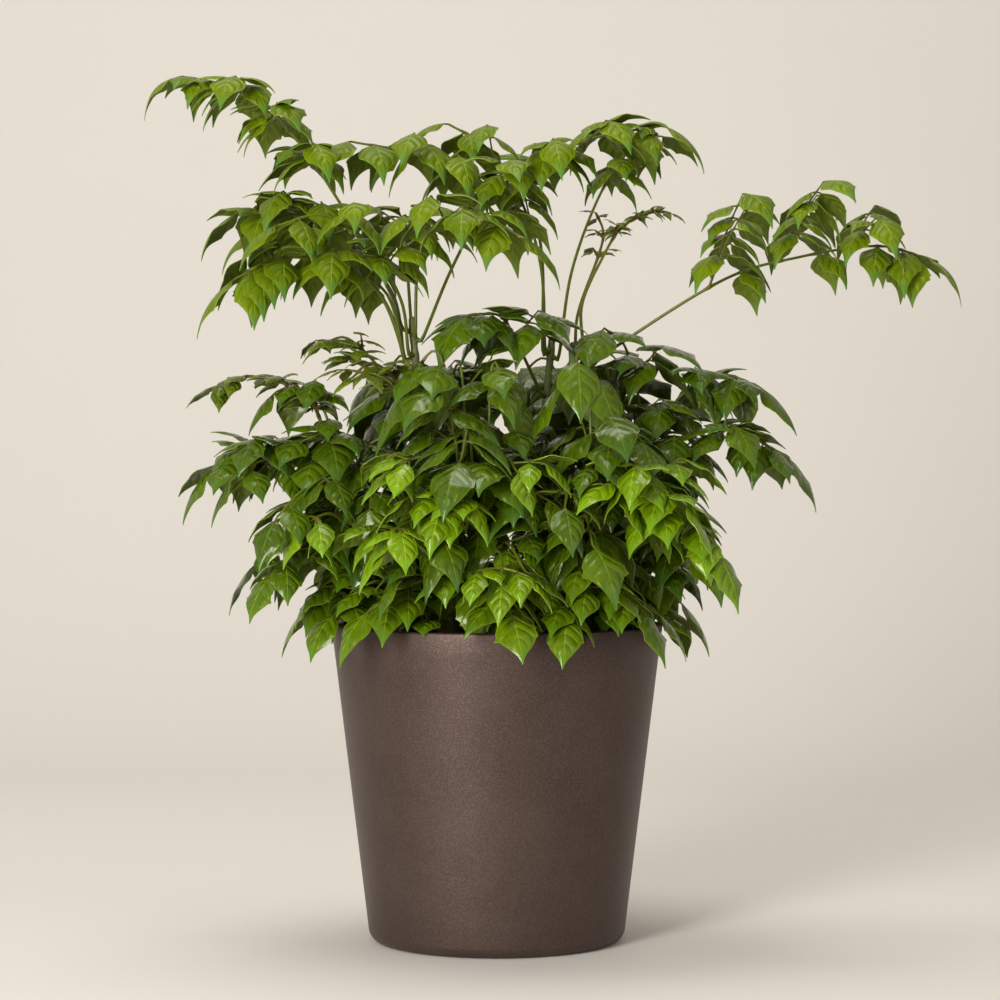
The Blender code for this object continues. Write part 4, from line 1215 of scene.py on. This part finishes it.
def leaf_pattern(g, along, across):
    """The rib, the side veins, the swell between them and the margin, from 0 to 1."""
    v = g.math("ABSOLUTE", across)
    bow = g.times(g.math("POWER", v, VEIN_BOW), VEIN_LEAN)
    from_vein = g.math("PINGPONG", g.math("SUBTRACT", g.times(along, VEINS), bow), 0.5)
    reach = g.times(g.step(v, 0.72, 0.95, 1, 0), g.step(along, 0.62, 0.8, 1, 0))
    lateral = g.times(g.step(from_vein, 0.015, 0.06, 1, 0), reach)
    swell = g.times(g.step(from_vein, 0, 0.4), reach)
    return g.step(v, 0.012, 0.07, 1, 0), lateral, swell, g.step(v, 0.965, 0.995)


def leaf_material(kind):
    """A glossy blade with a fine pale rib, sunken arching side veins, mottled greens and a painted
    bluish-green sheen towards the tip.
    """
    deep, fresh, vein, tip, roughness = LEAF_LOOKS[kind]
    g = Graph(f"{kind}_leaf")
    along, across, tone = g.split(g.attribute("growth", "Vector"))
    under = g.attribute("under", "Fac")
    rib, lateral, swell, margin = leaf_pattern(g, along, across)
    mottle = g.step(g.noise(170, 4, 0.6), 0.35, 0.65)
    fine = g.noise(1500, 2)
    colour = g.mix(g.plus(g.times(tone, 0.7), g.times(mottle, 0.35)), deep, fresh)
    # Painted sheen: towards the tip, the blade's colour is mixed with the tip colour, a bluish-green sheen
    # painted in.
    colour = g.mix(g.step(along, 0.62, 0.95, 0, 0.6), colour, tip)
    for line, strength in ((lateral, 0.22), (rib, 0.5), (margin, 0.4)):
        colour = g.mix(g.times(line, strength), colour, vein)
    colour = g.mix(g.times(under, 0.5), colour, LEAF_UNDERSIDE)
    rough = g.plus(g.plus(g.times(fine, 0.16), roughness - 0.08), g.times(under, 0.2))
    height = g.math("SUBTRACT", swell, g.times(g.math("MAXIMUM", lateral, rib), 0.4))
    g.bump(g.plus(height, g.times(fine, 0.08)), 0.7 * MM, 0.75)
    return g.finish(colour, rough, DULL_SHINE if SLOTS[kind] == "crown_leaf" else GLOSS)


def stalk_material(kind):
    """A smooth green stalk, brownish where it forks and at its foot."""
    g = Graph(f"{kind}_stalk")
    _, joint, tone = g.split(g.attribute("growth", "Vector"))
    streak = g.noise(420, 3, 0.6)
    share = g.plus(g.times(joint, 0.5), g.step(streak, 0.45, 0.7, 0, 0.45))
    if kind == "young":
        share = g.plus(share, 0.3)
    colour = g.mix(share, g.mix(tone, *STALK_GREENS), STALK_BROWN)
    g.bump(streak, 0.1 * MM, 0.5)
    return g.finish(colour, g.step(streak, 0.3, 0.7, 0.32, 0.48), STALK_SHINE)


def bark_material():
    """Green young bark that turns brown and corky towards the foot, with pale pores."""
    g = Graph("bark")
    along, joint, _ = g.split(g.attribute("growth", "Vector"))
    furrow = g.noise(240, 5, 0.65, (1, 1, 0.25))
    pore = g.step(g.cells(520)[0], 0.16, 0.26, 1, 0)
    share = g.step(g.plus(along, g.times(furrow, 0.3)), 0.3, 0.85)
    colour = g.mix(share, g.mix(furrow, *BARK_BROWNS), g.mix(furrow, *BARK_GREENS))
    colour = g.mix(g.times(joint, 0.5), colour, BARK_NODE)
    colour = g.mix(g.times(pore, 0.5), colour, BARK_PORE)
    g.bump(g.plus(furrow, g.times(pore, 0.5)), 0.5 * MM, 0.8)
    return g.finish(colour, g.step(furrow, 0.3, 0.7, 0.5, 0.75))


def pot_material():
    """Dark warm brown with a satin finish, a fine metallic speckle and faint clouding."""
    g = Graph("pot_finish")
    cloud = g.noise(22, 4, 0.6)
    grain = g.noise(1700, 3, 0.7)
    spot, spot_colour = g.cells(2000)
    flake = g.times(g.step(spot, 0.25, 0.5, 1, 0), g.step(g.split(spot_colour)[0], 0.55, 0.9))
    colour = g.mix(g.step(cloud, 0.3, 0.7), *POT_BROWNS)
    colour = g.mix(g.step(grain, 0.42, 0.68, 0, 0.45), colour, POT_GRAIN)
    colour = g.mix(g.times(flake, 0.4), colour, POT_FLAKE)
    rough = g.math("SUBTRACT", g.step(grain, 0.3, 0.7, 0.42, 0.5), g.times(flake, 0.08))
    g.feed(g.shader.inputs["Metallic"], g.plus(g.times(flake, 0.3), 0.55))
    g.bump(g.plus(grain, g.times(cloud, 1.5)), 0.12 * MM, 0.45)
    return g.finish(colour, rough, {"Specular IOR Level": 0.2})


def soil_material():
    """Dark moist compost with fibres and pale grit."""
    g = Graph("compost")
    lump = g.noise(160, 6, 0.7)
    fibre = g.noise(700, 4, 0.7)
    grit = g.step(g.cells(240)[0], 0.10, 0.16, 1, 0)
    colour = g.mix(g.step(fibre, 0.55, 0.7, 0, 0.6), g.mix(lump, *SOIL_BROWNS), SOIL_FIBRE)
    colour = g.mix(g.times(grit, 0.35), colour, SOIL_GRIT)
    g.bump(g.plus(lump, fibre), 0.8 * MM, 0.9)
    return g.finish(colour, g.step(lump, 0.3, 0.7, 0.75, 0.95))


def dress(piece, slot, *nodes):
    """The piece moves with the plant and stands for some nodes, which it hides. The slot is not used."""
    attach(piece, BODY)
    if nodes:
        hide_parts(*nodes)


def arc(centre_r, centre_z, radius, start, end, steps):
    """Points (r, z) on a round corner, between two angles in degrees."""
    angles = [math.radians(start + (end - start) * i / steps) for i in range(steps + 1)]
    return [(centre_r + radius * math.cos(a), centre_z + radius * math.sin(a)) for a in angles]


def wall_radius(height, inset=0.0):
    return POT_FOOT_RADIUS + (POT_RIM_RADIUS - POT_FOOT_RADIUS) * height / POT_HEIGHT - inset


def turned_mesh(name, profile, segments):
    bm = bmesh.new()
    corners = [bm.verts.new((r, 0, z)) for r, z in profile]
    edges = [bm.edges.new(pair) for pair in zip(corners, corners[1:])]
    bmesh.ops.spin(bm, geom=corners + edges, axis=UP, angle=2 * math.pi, steps=segments)
    bmesh.ops.remove_doubles(bm, verts=bm.verts, dist=MM / 1000)
    bmesh.ops.recalc_face_normals(bm, faces=bm.faces)
    mesh = bpy.data.meshes.new(name)
    bm.to_mesh(mesh)
    bm.free()
    mesh.shade_smooth()
    return mesh


def make_pot():
    """The pot as one turned wall: foot, side, lip, inside and floor."""
    foot, lip, top = POT_FOOT_ROUNDING, POT_LIP_ROUNDING, POT_HEIGHT
    taper = math.degrees(math.atan2(POT_RIM_RADIUS - POT_FOOT_RADIUS, POT_HEIGHT))
    profile = [(0, 0), ((wall_radius(foot) - foot) * 0.5, 0)]
    profile += arc(wall_radius(foot) - foot, foot, foot, -90, -taper, FOOT_STEPS)
    for step in range(1, POT_RISE_STEPS):
        height = foot + (top - lip - foot) * step / POT_RISE_STEPS
        profile.append((wall_radius(height), height))
    profile += arc(POT_RIM_RADIUS - lip, top - lip, lip, 0, 90, LIP_STEPS)
    profile += arc(wall_radius(top, POT_WALL) + lip, top - lip, lip, 90, 180, LIP_STEPS)
    inner = POT_FLOOR + foot
    profile += arc(wall_radius(inner, POT_WALL) - foot, inner, foot, 0, -90, CORNER_STEPS)
    profile.append((0, POT_FLOOR))
    mesh = turned_mesh("pot_body", profile, POT_SEGMENTS)
    mesh.materials.append(pot_material())
    dress(new_piece("pot_body", mesh), "pot", "pot")


def soil_height(x, y):
    """Settled compost: a low mound, lumps and crumbs."""
    height = SOIL_TOP + 0.8 * SOIL_LUMP
    for scale, roughness, finer, count, rise in SOIL_RELIEF:
        height += noise.fractal(Vector((x, y, 0)) * scale, roughness, finer, count) * rise
    return height


def make_soil():
    """The compost's uneven top down to the pot's wall, with loose crumbs half sunk in it."""
    edge = wall_radius(SOIL_TOP, POT_WALL + GAP)
    low = SOIL_TOP - SOIL_DEPTH
    surface = Surface()
    rings = [around(edge * ring / SOIL_RINGS, SOIL_SPOKES) for ring in range(1, SOIL_RINGS + 1)]
    points = [[(x, y, soil_height(x, y)) for x, y in ring] for ring in rings]
    points.append([(x, y, low) for x, y in around(wall_radius(low, POT_WALL + GAP), SOIL_SPOKES)])
    faces = closed_tube(SOIL_RINGS + 1, SOIL_SPOKES)
    count = (SOIL_RINGS + 1) * SOIL_SPOKES
    surface.add(np.array(points), np.zeros((count, 3)), np.zeros(count), faces)
    draw = random.Random(SEED)
    for _ in range(CRUMBS):
        add_crumb(surface, edge, draw)
    dress(surface.piece("compost", [soil_material()], 60), "soil", "soil")


def around(radius, count, turn=0.0):
    """Points (x, y) on a circle."""
    angles = [2 * math.pi * i / count + turn for i in range(count)]
    return [(radius * math.cos(a), radius * math.sin(a)) for a in angles]


def add_crumb(surface, edge, draw):
    """A lump of compost: a few rings pushed out into an uneven ball."""
    size = draw.uniform(*CRUMB_RADII)
    reach = (edge - size) * math.sqrt(draw.random())
    bearing = draw.uniform(0, 2 * math.pi)
    x, y = reach * math.cos(bearing), reach * math.sin(bearing)
    rings = []
    for pitch in CRUMB_PITCHES:
        r, z = math.cos(math.radians(pitch)), math.sin(math.radians(pitch))
        rings.append([(*point, z * 0.8) for point in around(r, CRUMB_SIDES, pitch)])
    ball = np.array(rings) * size
    ball *= [[[draw.uniform(*CRUMB_UNEVEN)] for _ in range(CRUMB_SIDES)] for _ in CRUMB_PITCHES]
    ball += (x, y, soil_height(x, y))
    rows = len(CRUMB_PITCHES)
    faces = [face[::-1] for face in closed_tube(rows, CRUMB_SIDES)]
    count = rows * CRUMB_SIDES
    surface.add(ball, np.zeros((count, 3)), np.zeros(count), faces)


def make_stem(name, path, feet, bark):
    """A round stem with swollen nodes under its fronds, a bud at its top and furrowed bark."""
    surface = Surface()
    low, high = path.points[0].z, path.points[-1].z
    heights = np.linspace(low, high, round((high - low) / BARK_STEP) + 1)
    centres, radii, marks = [], [], []
    for height, joint in zip(heights, np.minimum(nearness(heights, feet), 1)):
        radius = stem_radius(path, height) * (BARK_SLIMNESS + BARK_SWELL * joint)
        ring = [Vector((x, y, height)) * BARK_GRAIN for x, y in around(1, BARK_SIDES)]
        centres.append(path.at_height(height)[0])
        radii.append(radius * (1 + BARK_UNEVEN * np.array([noise.noise(place) for place in ring])))
        marks.append(((height - low) / (high - low), joint, 0.5))
    top = path.points[-1]
    direction = (top - path.points[-2]).normalized()
    for share in BUD_SHARES:
        centres.append(top + direction * STEM_END * share)
        radii.append(np.full(BARK_SIDES, STEM_TOP_RADIUS * math.sqrt(1.02 - share**2)))
        marks.append((1, 0.2, 0.5))
    fine_tube(surface, centres, radii, BARK_SIDES, marks, 0)
    dress(surface.piece(f"{name}_stem_bark", [bark], 60), "stem", f"stem_{name}")


def make_foliage(name, fronds, kind, materials, *nodes):
    """One piece of foliage from several fronds of a kind, seeded by their names."""
    surface = Surface()
    for frond, axis in fronds.items():
        fine_foliage(surface, axis, kind, random.Random(f"fine {frond}"))
    piece = surface.piece(name, materials[kind], 50)
    dress(piece, SLOTS[kind], *nodes)


def grow_plant(stems):
    """The fronds that stand for solids and the ones that fill the room between them."""
    thicket = Thicket()
    for node in ("pot", "soil"):
        thicket.add(node_skin(node))
    for name, path in stems.items():
        thicket.add(node_skin(f"stem_{name}"), path)
    plans = itertools.chain(placed_fronds(stems, FRONDS), ring_fronds(stems, RINGS))
    solid = grow_fronds(plans, thicket)
    thicket.spare = FILL_CLEARANCE
    fills = itertools.chain(placed_fronds(stems, FILL_FRONDS), ring_fronds(stems, FILL_RINGS))
    more = grow_fronds(fills, thicket)
    thicken_all(solid, thicket)
    return solid, more


def make_plant():
    stems = stem_paths()
    solid, more = grow_plant(stems)
    materials = {kind: [leaf_material(kind), stalk_material(kind)] for kind in HABITS}
    for name, (kind, axis, _) in solid.items():
        make_foliage(f"{name}_foliage", {name: axis}, kind, materials, f"frond_{name}")
    groups = {}
    for name, (kind, axis, _) in more.items():
        groups.setdefault((fill_group(name), kind), {})[name] = axis
    for (group, kind), fronds in sorted(groups.items()):
        make_foliage(f"{group}_{kind}_foliage", fronds, kind, materials)
    bark = bark_material()
    for name, path in stems.items():
        feet = [a.path.points[0].z for _, a, _ in (*solid.values(), *more.values()) if on_stem(a, path)]
        make_stem(name, path, feet, bark)


def fill_group(name):
    """The ring that a frond belongs to, or more for the ones placed by themselves."""
    return name.rpartition("_")[0] if name not in FILL_FRONDS else "more"


def on_stem(axis, path):
    foot = axis.path.points[0]
    return (path.at_height(foot.z)[0] - foot).length < 2 * STEM_FOOT_RADIUS


def plain_material(name, colour, roughness):
    g = Graph(name)
    return g.finish(g.mix(g.noise(3, 2), colour, tuple(c * 0.97 for c in colour)), roughness)


def make_stage():
    """A pale floor that curves up into a wall behind."""
    bend = FLOOR_BACK - FLOOR_RISE
    line = [(FLOOR_FRONT, 0.0), (bend, 0.0)]
    for step in range(1, FLOOR_RISE_STEPS + 1):
        angle = math.radians(90 * step / FLOOR_RISE_STEPS)
        line.append((bend + FLOOR_RISE * math.sin(angle), FLOOR_RISE - FLOOR_RISE * math.cos(angle)))
    line.append((FLOOR_BACK, WALL_TOP))
    points = [(x, y, z) for y, z in line for x in (-FLOOR_HALF, FLOOR_HALF)]
    faces = [(2 * i, 2 * i + 1, 2 * i + 3, 2 * i + 2) for i in range(len(line) - 1)]
    mesh = bpy.data.meshes.new("floor")
    mesh.from_pydata(points, [], faces)
    mesh.shade_smooth()
    mesh.materials.append(plain_material("floor_paint", FLOOR_PAINT, 0.7))
    new_piece("floor", mesh)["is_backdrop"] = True


def make_lights():
    for name, (place, target, size, power, colour) in LIGHTS.items():
        light = bpy.data.lights.new(name, "AREA")
        light.shape = "RECTANGLE"
        light.size, light.size_y = size
        light.energy = power
        light.color = colour
        lamp = bpy.data.objects.new(name, light)
        lamp.location = place
        lamp.rotation_euler = (Vector(target) - Vector(place)).to_track_quat("-Z", "Y").to_euler()
        bpy.context.scene.collection.objects.link(lamp)
    world = bpy.data.worlds.new("soft_light")
    world.use_nodes = True
    background = world.node_tree.nodes["Background"]
    background.inputs["Color"].default_value = SKY_COLOUR
    background.inputs["Strength"].default_value = SKY_STRENGTH
    bpy.context.scene.world = world


def make_camera():
    camera = bpy.data.cameras.new("photo_view")
    camera.sensor_width = SENSOR
    camera.lens = LENS
    holder = bpy.data.objects.new("photo_view", camera)
    holder.location = CAMERA_PLACE
    holder.rotation_euler = (math.pi / 2 - CAMERA_PITCH, 0, 0)
    bpy.context.scene.collection.objects.link(holder)
    bpy.context.scene.camera = holder


def write_sizes():
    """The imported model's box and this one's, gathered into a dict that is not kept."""
    boxes = {"cad": CAD_BOX, "visual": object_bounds()}
    {name: [list(corner) for corner in box] for name, box in boxes.items()}


make_pot()
make_soil()
make_plant()
make_stage()
make_lights()
make_camera()
bpy.context.scene.view_settings.view_transform = "Standard"
write_sizes()
